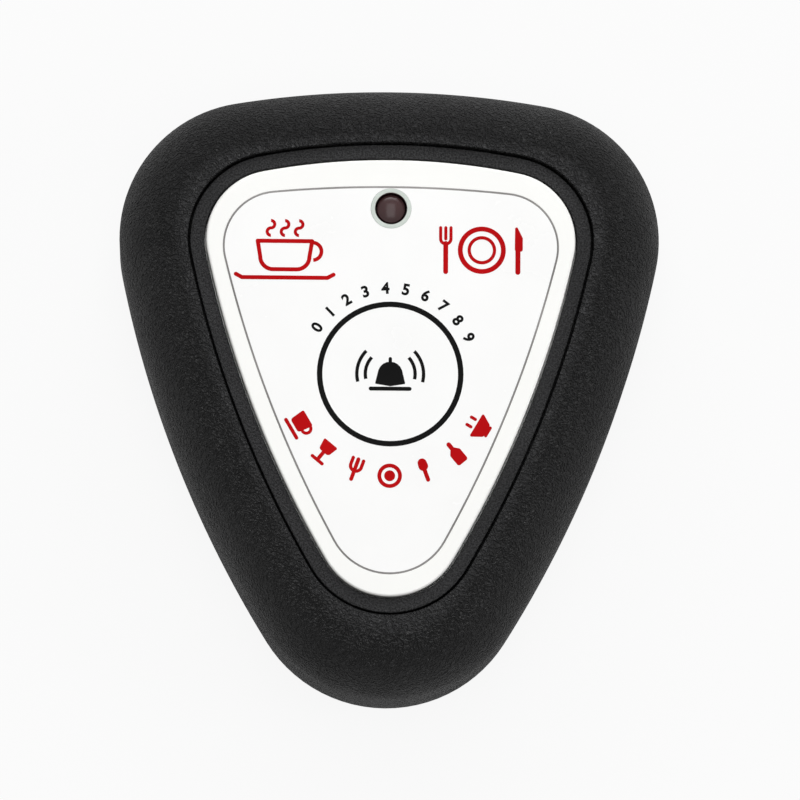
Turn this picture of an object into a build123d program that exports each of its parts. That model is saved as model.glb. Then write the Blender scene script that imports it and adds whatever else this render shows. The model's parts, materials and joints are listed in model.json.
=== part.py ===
"""Table call button: a pick-shaped puck with one large press key and a wireless sender inside.

Frame: millimetres, +Z up. The puck lies on its flat back at z = 0, wide end towards +Y, narrow tip
towards -Y, with the origin under the middle of the body. Every height is stacked up from the base or
down from the crown, and every plan outline is an inset of the body, the opening or the film.
"""
from build123d import *

import math
import os

# ---------------------------------------------------------------- body
BODY_LENGTH = 65.74
BODY_WIDTH = 58.0
BODY_HEIGHT = 16.5
BODY_TOP_RADIUS = 98.2
BODY_CORNER_RADIUS = 14.8
BODY_SIDE_RADIUS = 121.3
BODY_TIP_RADIUS = 15.1
CROWN_RADIUS = 7.475
FOOT_BEVEL = 0.8
SHELL_WALL = 2.8
CAVITY_BEVEL = 2.7
REBATE_INSET = 1.8
BOSS_INSET = 4.6
BOSS_RADIUS = 2.0
BOSS_ANGLE = 40.0

# ---------------------------------------------------------------- opening in the crown
RIM_SIDE = 7.33
RIM_TOP = 6.675
RIM_TIP = 8.095
OPENING_TOP_RADIUS = 72.7
OPENING_CORNER_RADIUS = 9.41
OPENING_SIDE_RADIUS = 113.9
OPENING_TIP_RADIUS = 9.73
POCKET_MARGIN = 1.4
POCKET_ROOF = 2.8

# ---------------------------------------------------------------- bezel frame
BEZEL_DROP = 0.5
BEZEL_DEPTH = 2.4
GROOVE = 0.35
BEZEL_WIDTH = 1.43
BEZEL_CHAMFER = 0.2
FRAME_WALL = 1.7
FRAME_POST_RADIUS = 2.2
FRAME_POST_INSET = 2.3
FRAME_POST_CLEARANCE = 0.5

# ---------------------------------------------------------------- key
KEY_CLEARANCE = 0.2
KEY_THICKNESS = 1.6
KEY_SKIRT = 1.2
KEY_EDGE_RADIUS = 0.6
KEY_FLANGE_WIDTH = 1.28
KEY_FLANGE_THICKNESS = 1.0
KEY_POST_RADIUS = 2.4
KEY_TRAVEL = 0.3

# ---------------------------------------------------------------- film in the key
FILM_SIDE_MARGIN = 1.87
FILM_TOP_MARGIN = 2.98
FILM_TIP_MARGIN = 2.44
FILM_TOP_RADIUS = 126.5
FILM_CORNER_RADIUS = 5.8
FILM_SIDE_RADIUS = 126.0
FILM_TIP_RADIUS = 6.66
FILM_THICKNESS = 0.25
FILM_PROUD = 0.05
FILM_GAP = 0.1

# ---------------------------------------------------------------- lamp
LED_EDGE_MARGIN = 0.1
LED_RADIUS = 1.5
LED_FLANGE_RADIUS = 1.9
LED_FLANGE_THICKNESS = 1.0
LED_HEIGHT = 5.3
LED_LEAD = 0.45
LED_LEAD_PITCH = 2.54
LED_LEAD_TAIL = 1.0
LED_SPACER_RADIUS = 2.0
COLLAR_RADIUS = 2.2
COLLAR_WALL = 0.5
COLLAR_FLANGE_WIDTH = 0.6
COLLAR_FLANGE_THICKNESS = 0.6

# ---------------------------------------------------------------- board and membrane
BOARD_THICKNESS = 1.2
BOARD_MARGIN = 0.8
MEMBRANE_THICKNESS = 0.6
MEMBRANE_CAP_MARGIN = 1.6
HOLE_CLEARANCE = 0.2
FIT_CLEARANCE = 0.1
BOSS_CLEARANCE = 0.25

# ---------------------------------------------------------------- switch
SWITCH_Y = 1.4
SWITCH_WIDTH = 6.0
SWITCH_HEIGHT = 4.3
SWITCH_HOUSING_HEIGHT = 3.1
SWITCH_FLOOR = 1.0
SWITCH_WELL_RADIUS = 2.2
SWITCH_CORNER = 0.5
COVER_THICKNESS = 0.3
PLUNGER_RADIUS = 1.7
PLUNGER_FLANGE_RADIUS = 2.0
PLUNGER_FLANGE_THICKNESS = 0.6
PLUNGER_NUB_RADIUS = 0.6
DOME_RISE = 0.6
DOME_CROWN_RADIUS = 1.0
DOME_THICKNESS = 0.1
DOME_LIFT = 0.1
TERMINAL_WIDTH = 0.7
TERMINAL_THICKNESS = 0.2
TERMINAL_PITCH = 4.5
TERMINAL_REACH = 1.4
TERMINAL_RISE = 0.9

# ---------------------------------------------------------------- battery
CELL_Y = 3.5
CELL_RADIUS = 10.0
CELL_THICKNESS = 3.2
CELL_CAP_RADIUS = 8.8
CELL_CAP_HEIGHT = 0.4
CELL_EDGE_BEVEL = 0.35
HOLDER_CLEARANCE = 0.3
HOLDER_WALL = 1.3
HOLDER_FLOOR = 0.6
HOLDER_HEIGHT = 4.8
HOLDER_WINDOW = 7.0
CONTACT_THICKNESS = 0.25
CONTACT_WIDTH = 4.0
CONTACT_FOOT = 2.0

# ---------------------------------------------------------------- small electronics, under the board
CHIP_Y = -12.5
CHIP_WIDTH = 3.9
CHIP_LENGTH = 4.9
CHIP_HEIGHT = 1.5
CHIP_CHAMFER = 0.2
CHIP_LEG_PITCH = 1.27
CHIP_LEG_WIDTH = 0.4
CHIP_LEG_THICKNESS = 0.2
CHIP_LEG_REACH = 1.05
CHIP_LEGS_PER_SIDE = 4
CAN_X = -15.5
CAN_Y = 11.5
CAN_SIZE = 5.0
CAN_HEIGHT = 1.5
CAN_CORNER_BEVEL = 0.6
CAN_EDGE_BEVEL = 0.25
TRANSISTOR_X = 14.2
TRANSISTOR_Y = 14.5
TRANSISTOR_LENGTH = 2.9
TRANSISTOR_WIDTH = 1.3
TRANSISTOR_HEIGHT = 1.0
TRANSISTOR_LEG_PITCH = 0.95
PASSIVE_LENGTH = 1.6
PASSIVE_WIDTH = 0.8
PASSIVE_HEIGHT = 0.45
PASSIVE_X = 14.2
PASSIVE_PITCH = 2.0
RESISTOR_COUNT = 4
RESISTOR_Y = 0.5
CAPACITOR_COUNT = 3
CAPACITOR_Y = 6.5
ANTENNA_EDGE_INSET = 0.75
ANTENNA_TOP_Y = 13.5
ANTENNA_BOTTOM_Y = 4.0
ANTENNA_DROP = 2.0
ANTENNA_WIRE_RADIUS = 0.4
ANTENNA_BEND = 0.6

# ---------------------------------------------------------------- base
BASE_THICKNESS = 2.0
BASE_CLEARANCE = 0.15
BASE_CHAMFER = 0.3
GASKET_HEIGHT = 1.0
GASKET_WIDTH = 0.6
GASKET_CLEARANCE = 0.1
HOLDER_ROOM_SHARE = 0.3
BASE_RIB = 1.0
BASE_RIB_CLEARANCE = 0.2
BASE_POST_RADIUS = 1.5
BASE_POST_INSET = 0.6
BASE_POST_Y = -3.0
PAD_INSET = 9.0
PAD_DEPTH = 0.3

# ---------------------------------------------------------------- screws
SCREW_RADIUS = 1.0
SCREW_HEAD_RADIUS = 1.9
SCREW_HEAD_HEIGHT = 1.1
SCREW_HEAD_RECESS = 0.2
SCREW_SLOT_WIDTH = 0.5
SCREW_SLOT_DEPTH = 0.5
BASE_SCREW_LENGTH = 7.0
SCREW_TIP_CLEARANCE = 0.4

# ---------------------------------------------------------------- heights down from the crown
LEDGE_TOP = BODY_HEIGHT - POCKET_ROOF
BEZEL_TOP = BODY_HEIGHT - BEZEL_DROP
KEY_STOP = BEZEL_TOP - BEZEL_DEPTH
KEY_TOP = BODY_HEIGHT - FILM_PROUD
KEY_UNDERSIDE = KEY_TOP - KEY_THICKNESS
KEY_FOOT = KEY_STOP - KEY_FLANGE_THICKNESS
FRAME_POST_TOP = KEY_FOOT - KEY_TRAVEL - FRAME_POST_CLEARANCE
LED_BOTTOM = BODY_HEIGHT - LED_HEIGHT

# ---------------------------------------------------------------- heights up from the base
# What the stacked pieces leave free is shared: a part below the battery holder, the rest the key's post.
STACKED_BELOW_BOARD = BASE_THICKNESS + HOLDER_HEIGHT
STACKED_ON_BOARD = SWITCH_HEIGHT + MEMBRANE_THICKNESS
FREE_HEIGHT = KEY_UNDERSIDE - STACKED_BELOW_BOARD - BOARD_THICKNESS - STACKED_ON_BOARD
BOARD_BOTTOM = STACKED_BELOW_BOARD + HOLDER_ROOM_SHARE * FREE_HEIGHT
BOARD_TOP = BOARD_BOTTOM + BOARD_THICKNESS
MEMBRANE_TOP = BOARD_TOP + MEMBRANE_THICKNESS
SWITCH_TOP = BOARD_TOP + SWITCH_HEIGHT
CAP_TOP = SWITCH_TOP + MEMBRANE_THICKNESS
GASKET_LEDGE = BASE_THICKNESS + GASKET_HEIGHT
CELL_TOP = BOARD_BOTTOM - HOLDER_FLOOR - CONTACT_THICKNESS
BOARD_SCREW_LENGTH = FRAME_POST_TOP - BOARD_BOTTOM - SCREW_TIP_CLEARANCE

# ---------------------------------------------------------------- plan sizes worked out from the sizes
KEY_EDGE_INSET = GROOVE + BEZEL_WIDTH + KEY_CLEARANCE
FRAME_INNER_INSET = KEY_EDGE_INSET - KEY_FLANGE_WIDTH - KEY_CLEARANCE
OPENING_LENGTH = BODY_LENGTH - RIM_TOP - RIM_TIP
OPENING_WIDTH = BODY_WIDTH - 2 * RIM_SIDE
OPENING_Y = (RIM_TIP - RIM_TOP) / 2
FILM_LENGTH = OPENING_LENGTH - 2 * KEY_EDGE_INSET - FILM_TOP_MARGIN - FILM_TIP_MARGIN
FILM_WIDTH = OPENING_WIDTH - 2 * KEY_EDGE_INSET - 2 * FILM_SIDE_MARGIN
FILM_Y = OPENING_Y + (FILM_TIP_MARGIN - FILM_TOP_MARGIN) / 2
LED_Y = FILM_Y + FILM_LENGTH / 2 - LED_EDGE_MARGIN - COLLAR_RADIUS
HOLDER_RADIUS = CELL_RADIUS + HOLDER_CLEARANCE + HOLDER_WALL
STANDING = (Align.CENTER, Align.CENTER, Align.MIN)


class PickOutline:
    """Rounded triangle of six tangent arcs, wide end at +Y and symmetric about the Y axis.

    The centres of neighbouring arcs and the point where they meet lie on one line, so an inset of the
    outline keeps every centre and takes the inset off every radius.
    """

    def __init__(self, length, width, top_radius, corner_radius, side_radius, tip_radius, centre_y=0.0):
        self.top_radius = top_radius
        self.corner_radius = corner_radius
        self.side_radius = side_radius
        self.tip_radius = tip_radius
        self.top_centre = Vector(0, centre_y + length / 2 - top_radius)
        corner_x = width / 2 - corner_radius
        corner_rise = math.sqrt((top_radius - corner_radius) ** 2 - corner_x**2)
        self.corner_centre = Vector(corner_x, self.top_centre.Y + corner_rise)
        self.tip_centre = Vector(0, centre_y - length / 2 + tip_radius)
        self.side_centre = self._find_side_centre()

    def _find_side_centre(self):
        """Centre of the right-hand side arc, from its distances to the tip and corner centres."""
        to_tip = self.side_radius - self.tip_radius
        to_corner = self.side_radius - self.corner_radius
        line = self.corner_centre - self.tip_centre
        span = line.length
        along = (to_tip**2 - to_corner**2 + span**2) / (2 * span)
        across = math.sqrt(to_tip**2 - along**2)
        unit = line.normalized()
        return self.tip_centre + unit * along + Vector(-unit.Y, unit.X) * across

    def _joint(self, centre, neighbour, radius):
        """Point where the arc about centre meets the smaller arc about neighbour."""
        return centre + (neighbour - centre).normalized() * radius

    def face(self, inset=0.0):
        """Flat face of the outline, drawn in by inset, or out by a negative inset."""
        top = self.top_radius - inset
        side = self.side_radius - inset
        crest = self.top_centre + Vector(0, top)
        shoulder = self._joint(self.top_centre, self.corner_centre, top)
        hip = self._joint(self.side_centre, self.corner_centre, side)
        toe = self._joint(self.side_centre, self.tip_centre, side)
        right = [
            arc_between(self.top_centre, top, crest, shoulder),
            arc_between(self.corner_centre, self.corner_radius - inset, shoulder, hip),
            arc_between(self.side_centre, side, hip, toe),
            arc_between(self.tip_centre, self.tip_radius - inset, toe, self.tip_point(inset)),
        ]
        left = [edge.mirror(Plane.YZ) for edge in reversed(right)]
        return Face(Wire([*right, *left]))

    def prism(self, bottom, top, inset=0.0):
        """Upright solid of the outline between two heights."""
        return extrude(Pos(0, 0, bottom) * self.face(inset), top - bottom, dir=(0, 0, 1))

    def ring(self, bottom, top, outer_inset, inner_inset):
        """Upright ring between two insets of the outline."""
        return self.prism(bottom, top, outer_inset) - self.prism(bottom, top, inner_inset)

    def half_width(self, y, inset=0.0):
        """Distance from the Y axis to the side arc at a height y that the side arc reaches."""
        rise = y - self.side_centre.Y
        return self.side_centre.X + math.sqrt((self.side_radius - inset) ** 2 - rise**2)

    def corner_point(self, angle, inset):
        """Point on the right-hand corner arc, drawn in by inset, at an angle from +X in degrees."""
        reach = self.corner_radius - inset
        turn = math.radians(angle)
        return self.corner_centre + Vector(math.cos(turn), math.sin(turn)) * reach

    def tip_point(self, inset):
        """Lowest point of the tip arc, drawn in by inset."""
        return self.tip_centre - Vector(0, self.tip_radius - inset)


def mirrored(point):
    """Point on the other side of the Y axis."""
    return Vector(-point.X, point.Y)


def arc_between(centre, radius, start, end):
    """Short arc about centre from start to end."""
    middle = (start - centre).normalized() + (end - centre).normalized()
    return ThreePointArc(start, centre + middle.normalized() * radius, end)


BODY = PickOutline(
    BODY_LENGTH, BODY_WIDTH, BODY_TOP_RADIUS, BODY_CORNER_RADIUS, BODY_SIDE_RADIUS, BODY_TIP_RADIUS
)
OPENING = PickOutline(
    OPENING_LENGTH,
    OPENING_WIDTH,
    OPENING_TOP_RADIUS,
    OPENING_CORNER_RADIUS,
    OPENING_SIDE_RADIUS,
    OPENING_TIP_RADIUS,
    OPENING_Y,
)
FILM = PickOutline(
    FILM_LENGTH,
    FILM_WIDTH,
    FILM_TOP_RADIUS,
    FILM_CORNER_RADIUS,
    FILM_SIDE_RADIUS,
    FILM_TIP_RADIUS,
    FILM_Y,
)


def rod(x, y, radius, bottom, top):
    """Upright cylinder between two heights."""
    return Pos(x, y, bottom) * Cylinder(radius, top - bottom, align=STANDING)


def block(x, y, size_x, size_y, bottom, top):
    """Upright box between two heights."""
    return Pos(x, y, bottom) * Box(size_x, size_y, top - bottom, align=STANDING)


def three_points(outline, inset):
    """One point in each of the three rounded corners of an outline."""
    right = outline.corner_point(BOSS_ANGLE, inset)
    return [right, mirrored(right), outline.tip_point(inset)]


def boss_points():
    """Centres of the base-screw bosses in the surround."""
    return three_points(BODY, BOSS_INSET)


def frame_post_points():
    """Centres of the board-screw posts in the bezel frame."""
    return three_points(OPENING, FRAME_POST_INSET)


def base_post_points():
    """Centres of the base plate's posts, which hold the board up under the frame wall."""
    x = OPENING.half_width(BASE_POST_Y, BASE_POST_INSET)
    return [Vector(x, BASE_POST_Y), Vector(-x, BASE_POST_Y)]


def clear_of_bosses(shape, bottom, top):
    """Shape with room round each screw boss of the surround."""
    for point in boss_points():
        shape -= rod(point.X, point.Y, BOSS_RADIUS + BOSS_CLEARANCE, bottom, top)
    return shape


def screw(point, head_bottom, length):
    """Cross-slot flat-head screw, head down, with its shank pointing up."""
    head_top = head_bottom + SCREW_HEAD_HEIGHT
    head = rod(point.X, point.Y, SCREW_HEAD_RADIUS, head_bottom, head_top)
    body = head + rod(point.X, point.Y, SCREW_RADIUS, head_top, head_top + length)
    slot_top = head_bottom + SCREW_SLOT_DEPTH
    slot_length = SCREW_HEAD_RADIUS
    body -= block(point.X, point.Y, slot_length, SCREW_SLOT_WIDTH, head_bottom, slot_top)
    body -= block(point.X, point.Y, SCREW_SLOT_WIDTH, slot_length, head_bottom, slot_top)
    return body


def make_surround():
    """Domed shell with the crown opening, the pocket for the frame, screw bosses and a base rebate."""
    solid = BODY.prism(0, BODY_HEIGHT)
    solid = fillet(solid.edges().group_by(Axis.Z)[-1], CROWN_RADIUS)
    outer = chamfer(solid.edges().group_by(Axis.Z)[0], FOOT_BEVEL)
    hollow = BODY.prism(0, BODY_HEIGHT - SHELL_WALL, SHELL_WALL)
    hollow = chamfer(hollow.edges().group_by(Axis.Z)[-1], CAVITY_BEVEL)
    shell = outer - hollow
    shell -= BODY.prism(0, GASKET_LEDGE, REBATE_INSET)
    shell -= OPENING.prism(0, LEDGE_TOP, -POCKET_MARGIN)
    shell -= OPENING.prism(0, BODY_HEIGHT)
    for point in boss_points():
        boss = rod(point.X, point.Y, BOSS_RADIUS, BASE_THICKNESS, LEDGE_TOP)
        shell += boss & outer
    hole_top = SCREW_HEAD_RECESS + SCREW_HEAD_HEIGHT + BASE_SCREW_LENGTH + SCREW_TIP_CLEARANCE
    for point in boss_points():
        shell -= rod(point.X, point.Y, SCREW_RADIUS, BASE_THICKNESS, hole_top)
    return shell


def make_bezel_frame():
    """Bezel ring with a guide wall below it for the key's flange, and posts for the board screws."""
    ring = OPENING.ring(KEY_STOP, BEZEL_TOP, GROOVE, GROOVE + BEZEL_WIDTH)
    ring = chamfer(ring.edges().group_by(Axis.Z)[-1], BEZEL_CHAMFER)
    wall_outset = FRAME_WALL - FRAME_INNER_INSET
    wall = OPENING.ring(MEMBRANE_TOP, KEY_STOP, -wall_outset, FRAME_INNER_INSET)
    shoulder = OPENING.ring(KEY_STOP, LEDGE_TOP, -wall_outset, GROOVE + BEZEL_WIDTH)
    frame = ring + wall + shoulder
    for point in frame_post_points():
        frame += rod(point.X, point.Y, FRAME_POST_RADIUS, MEMBRANE_TOP, FRAME_POST_TOP)
    for point in frame_post_points():
        frame -= rod(point.X, point.Y, SCREW_RADIUS, MEMBRANE_TOP, FRAME_POST_TOP)
    return clear_of_bosses(frame, MEMBRANE_TOP, LEDGE_TOP)


def make_key_plate():
    """White press key: a plate with a skirt, a stop flange, the film recess, lamp hole and post."""
    plate = OPENING.prism(KEY_FOOT, KEY_TOP, KEY_EDGE_INSET)
    plate = fillet(plate.edges().group_by(Axis.Z)[-1], KEY_EDGE_RADIUS)
    plate -= OPENING.prism(KEY_FOOT, KEY_UNDERSIDE, KEY_EDGE_INSET + KEY_SKIRT)
    skirt_inset = KEY_EDGE_INSET + KEY_SKIRT
    flange_inset = KEY_EDGE_INSET - KEY_FLANGE_WIDTH
    plate += OPENING.ring(KEY_FOOT, KEY_STOP, flange_inset, skirt_inset)
    plate += rod(0, SWITCH_Y, KEY_POST_RADIUS, CAP_TOP, KEY_UNDERSIDE)
    plate -= FILM.prism(KEY_TOP + FILM_PROUD - FILM_THICKNESS, KEY_TOP, -FILM_GAP)
    return plate - rod(0, LED_Y, COLLAR_RADIUS, KEY_UNDERSIDE, KEY_TOP)


def make_face_film():
    """Printed film in the key's recess, with a hole round the lamp collar."""
    bottom = KEY_TOP + FILM_PROUD - FILM_THICKNESS
    film = FILM.prism(bottom, bottom + FILM_THICKNESS)
    return film - rod(0, LED_Y, COLLAR_RADIUS, bottom, bottom + FILM_THICKNESS)


def make_led_collar():
    """Clear ring pressed into the key from below, round the lamp."""
    flange_bottom = KEY_UNDERSIDE - COLLAR_FLANGE_THICKNESS
    top = KEY_TOP + FILM_PROUD
    collar = rod(0, LED_Y, COLLAR_RADIUS, flange_bottom, top)
    collar += rod(0, LED_Y, COLLAR_RADIUS + COLLAR_FLANGE_WIDTH, flange_bottom, KEY_UNDERSIDE)
    return collar - rod(0, LED_Y, COLLAR_RADIUS - COLLAR_WALL, flange_bottom, top)


def make_led_lens():
    """Smoked lamp body: flange, barrel and domed top."""
    shoulder = BODY_HEIGHT - LED_RADIUS
    lens = rod(0, LED_Y, LED_RADIUS, LED_BOTTOM, shoulder)
    lens += Pos(0, LED_Y, shoulder) * Sphere(LED_RADIUS)
    return lens + rod(0, LED_Y, LED_FLANGE_RADIUS, LED_BOTTOM, LED_BOTTOM + LED_FLANGE_THICKNESS)


def led_lead_places():
    """X of the two lamp leads."""
    return [-LED_LEAD_PITCH / 2, LED_LEAD_PITCH / 2]


def make_led_leads():
    """Two square leads from the lamp through the board."""
    bottom = BOARD_BOTTOM - LED_LEAD_TAIL
    return Compound([block(x, LED_Y, LED_LEAD, LED_LEAD, bottom, LED_BOTTOM) for x in led_lead_places()])


def make_led_spacer():
    """Tube that holds the lamp up off the board, with a square hole for each lead."""
    spacer = rod(0, LED_Y, LED_SPACER_RADIUS, BOARD_TOP, LED_BOTTOM)
    hole = LED_LEAD + FIT_CLEARANCE
    for x in led_lead_places():
        spacer -= block(x, LED_Y, hole, hole, BOARD_TOP, LED_BOTTOM)
    return spacer


def make_circuit_board():
    """Board with holes for its screws and the lamp leads."""
    board = OPENING.prism(BOARD_BOTTOM, BOARD_TOP, -BOARD_MARGIN)
    for point in frame_post_points():
        board -= rod(point.X, point.Y, SCREW_RADIUS + HOLE_CLEARANCE, BOARD_BOTTOM, BOARD_TOP)
    for x in led_lead_places():
        board -= rod(x, LED_Y, LED_LEAD, BOARD_BOTTOM, BOARD_TOP)
    return clear_of_bosses(board, BOARD_BOTTOM, BOARD_TOP)


def make_key_membrane():
    """Silicone sheet on the board with a raised cap over the switch."""
    cap_inner = SWITCH_WIDTH / 2 * math.sqrt(2) + TERMINAL_REACH
    cap_outer = cap_inner + MEMBRANE_THICKNESS
    sheet = OPENING.prism(BOARD_TOP, MEMBRANE_TOP, -BOARD_MARGIN)
    crown_inner = KEY_POST_RADIUS + MEMBRANE_CAP_MARGIN
    crown_outer = crown_inner + MEMBRANE_THICKNESS
    cap = Cone(cap_outer, crown_outer, CAP_TOP - MEMBRANE_TOP, align=STANDING)
    hollow = Cone(cap_inner, crown_inner, SWITCH_TOP - BOARD_TOP, align=STANDING)
    sheet += Pos(0, SWITCH_Y, MEMBRANE_TOP) * cap
    sheet -= Pos(0, SWITCH_Y, BOARD_TOP) * hollow
    sheet -= rod(0, LED_Y, LED_SPACER_RADIUS + HOLE_CLEARANCE, BOARD_TOP, MEMBRANE_TOP)
    for point in frame_post_points():
        sheet -= rod(point.X, point.Y, SCREW_RADIUS + HOLE_CLEARANCE, BOARD_TOP, MEMBRANE_TOP)
    return clear_of_bosses(sheet, BOARD_TOP, MEMBRANE_TOP)


def make_board_screws():
    """Three screws from under the board into the frame's posts."""
    head_bottom = BOARD_BOTTOM - SCREW_HEAD_HEIGHT
    return Compound([screw(point, head_bottom, BOARD_SCREW_LENGTH) for point in frame_post_points()])


def make_switch_housing():
    """Square switch body with the well for the plunger."""
    top = BOARD_TOP + SWITCH_HOUSING_HEIGHT
    housing = block(0, SWITCH_Y, SWITCH_WIDTH, SWITCH_WIDTH, BOARD_TOP, top)
    housing = chamfer(housing.edges().filter_by(Axis.Z), SWITCH_CORNER)
    return housing - rod(0, SWITCH_Y, SWITCH_WELL_RADIUS, BOARD_TOP + SWITCH_FLOOR, top)


def make_switch_cover():
    """Steel plate on the switch with a hole for the plunger."""
    bottom = BOARD_TOP + SWITCH_HOUSING_HEIGHT
    cover = block(0, SWITCH_Y, SWITCH_WIDTH, SWITCH_WIDTH, bottom, bottom + COVER_THICKNESS)
    cover = chamfer(cover.edges().filter_by(Axis.Z), SWITCH_CORNER)
    return cover - rod(0, SWITCH_Y, PLUNGER_RADIUS + FIT_CLEARANCE, bottom, bottom + COVER_THICKNESS)


def make_switch_plunger():
    """Round plunger with a flange held under the cover and a nub on the snap dome."""
    flange_top = BOARD_TOP + SWITCH_HOUSING_HEIGHT
    flange_bottom = flange_top - PLUNGER_FLANGE_THICKNESS
    nub_bottom = BOARD_TOP + SWITCH_FLOOR + DOME_LIFT + DOME_RISE + DOME_THICKNESS
    plunger = rod(0, SWITCH_Y, PLUNGER_RADIUS, flange_top, SWITCH_TOP)
    plunger += rod(0, SWITCH_Y, PLUNGER_FLANGE_RADIUS, flange_bottom, flange_top)
    return plunger + rod(0, SWITCH_Y, PLUNGER_NUB_RADIUS, nub_bottom, flange_bottom)


def make_switch_dome():
    """Thin snap disc: a sloped skirt from its rim up to a flat crown under the plunger."""
    rim = SWITCH_WELL_RADIUS - HOLE_CLEARANCE
    place = Pos(0, SWITCH_Y, BOARD_TOP + SWITCH_FLOOR + DOME_LIFT)
    outside = Cone(rim, DOME_CROWN_RADIUS, DOME_RISE + DOME_THICKNESS, align=STANDING)
    inside = Cone(rim - DOME_THICKNESS, DOME_CROWN_RADIUS - DOME_THICKNESS, DOME_RISE, align=STANDING)
    return place * (outside - inside)


def make_switch_terminals():
    """Four bent legs from the sides of the switch down to the board."""
    root = SWITCH_WIDTH / 2
    reach = root + TERMINAL_REACH
    legs = []
    for side in (-1, 1):
        for row in (-1, 1):
            y = SWITCH_Y + row * TERMINAL_PITCH / 2
            shelf_top = BOARD_TOP + TERMINAL_RISE
            middle = side * (root + TERMINAL_REACH / 4)
            shelf = block(
                middle, y, TERMINAL_REACH / 2, TERMINAL_WIDTH, shelf_top - TERMINAL_THICKNESS, shelf_top
            )
            knee = side * (root + TERMINAL_REACH / 2 - TERMINAL_THICKNESS / 2)
            drop = block(knee, y, TERMINAL_THICKNESS, TERMINAL_WIDTH, BOARD_TOP, shelf_top)
            foot_x = side * (reach - TERMINAL_REACH / 4)
            foot = block(
                foot_x, y, TERMINAL_REACH / 2, TERMINAL_WIDTH, BOARD_TOP, BOARD_TOP + TERMINAL_THICKNESS
            )
            legs.append(shelf + drop + foot)
    return Compound(legs)


def make_battery_holder():
    """Cup under the board, open downwards, with a window each side for contact and fingernail."""
    bottom = BOARD_BOTTOM - HOLDER_HEIGHT
    cup = rod(0, CELL_Y, HOLDER_RADIUS, bottom, BOARD_BOTTOM)
    cup -= rod(0, CELL_Y, HOLDER_RADIUS - HOLDER_WALL, bottom, BOARD_BOTTOM - HOLDER_FLOOR)
    window_top = BOARD_BOTTOM - HOLDER_FLOOR
    cup -= block(0, CELL_Y, 2 * HOLDER_RADIUS + 1, HOLDER_WINDOW, bottom, window_top)
    return cup - block(0, CELL_Y, CONTACT_WIDTH, CONTACT_WIDTH, window_top, BOARD_BOTTOM)


def make_coin_cell():
    """Coin cell: can below, smaller cap above."""
    bottom = CELL_TOP - CELL_THICKNESS
    can_top = CELL_TOP - CELL_CAP_HEIGHT
    cell = rod(0, CELL_Y, CELL_RADIUS, bottom, can_top)
    cell = chamfer(cell.edges().group_by(Axis.Z)[0], CELL_EDGE_BEVEL)
    return cell + rod(0, CELL_Y, CELL_CAP_RADIUS, can_top, CELL_TOP)


def make_positive_contact():
    """Bent strip from the board down the side of the cell."""
    inner = CELL_RADIUS
    strip_x = inner + CONTACT_THICKNESS / 2
    low = CELL_TOP - CELL_THICKNESS + CELL_EDGE_BEVEL
    top = BOARD_BOTTOM - HOLDER_FLOOR
    strip = block(strip_x, CELL_Y, CONTACT_THICKNESS, CONTACT_WIDTH, low, top)
    foot_x = inner + CONTACT_FOOT / 2
    return strip + block(foot_x, CELL_Y, CONTACT_FOOT, CONTACT_WIDTH, top - CONTACT_THICKNESS, top)


def make_negative_contact():
    """Flat contact on the cell's cap, with a neck up through the holder to the board."""
    window_top = BOARD_BOTTOM - HOLDER_FLOOR
    pad = rod(0, CELL_Y, CONTACT_WIDTH, CELL_TOP, window_top)
    neck = CONTACT_WIDTH - 2 * HOLDER_CLEARANCE
    return pad + block(0, CELL_Y, neck, neck, window_top, BOARD_BOTTOM)


def make_encoder_chip():
    """Moulded chip body under the board."""
    lift = CHIP_LEG_THICKNESS
    chip = block(0, CHIP_Y, CHIP_WIDTH, CHIP_LENGTH, BOARD_BOTTOM - lift - CHIP_HEIGHT, BOARD_BOTTOM - lift)
    return chamfer(chip.edges().group_by(Axis.Z)[0], CHIP_CHAMFER)


def make_encoder_legs():
    """Rows of chip legs, flat on the board."""
    legs = []
    first = CHIP_Y - CHIP_LEG_PITCH * (CHIP_LEGS_PER_SIDE - 1) / 2
    low = BOARD_BOTTOM - CHIP_HEIGHT / 2
    for side in (-1, 1):
        for row in range(CHIP_LEGS_PER_SIDE):
            y = first + row * CHIP_LEG_PITCH
            drop_x = side * (CHIP_WIDTH / 2 + CHIP_LEG_THICKNESS / 2)
            foot_x = side * (CHIP_WIDTH / 2 + CHIP_LEG_REACH / 2)
            drop = block(drop_x, y, CHIP_LEG_THICKNESS, CHIP_LEG_WIDTH, low, BOARD_BOTTOM)
            foot_bottom = BOARD_BOTTOM - CHIP_LEG_THICKNESS
            foot = block(foot_x, y, CHIP_LEG_REACH, CHIP_LEG_WIDTH, foot_bottom, BOARD_BOTTOM)
            legs.append(drop + foot)
    return Compound(legs)


def make_resonator_can():
    """Square metal can under the board."""
    can = block(CAN_X, CAN_Y, CAN_SIZE, CAN_SIZE, BOARD_BOTTOM - CAN_HEIGHT, BOARD_BOTTOM)
    can = chamfer(can.edges().filter_by(Axis.Z), CAN_CORNER_BEVEL)
    return chamfer(can.edges().group_by(Axis.Z)[0], CAN_EDGE_BEVEL)


def make_rf_transistor():
    """Small moulded transistor under the board."""
    lift = CHIP_LEG_THICKNESS
    top = BOARD_BOTTOM - lift
    return block(
        TRANSISTOR_X, TRANSISTOR_Y, TRANSISTOR_LENGTH, TRANSISTOR_WIDTH, top - TRANSISTOR_HEIGHT, top
    )


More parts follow.
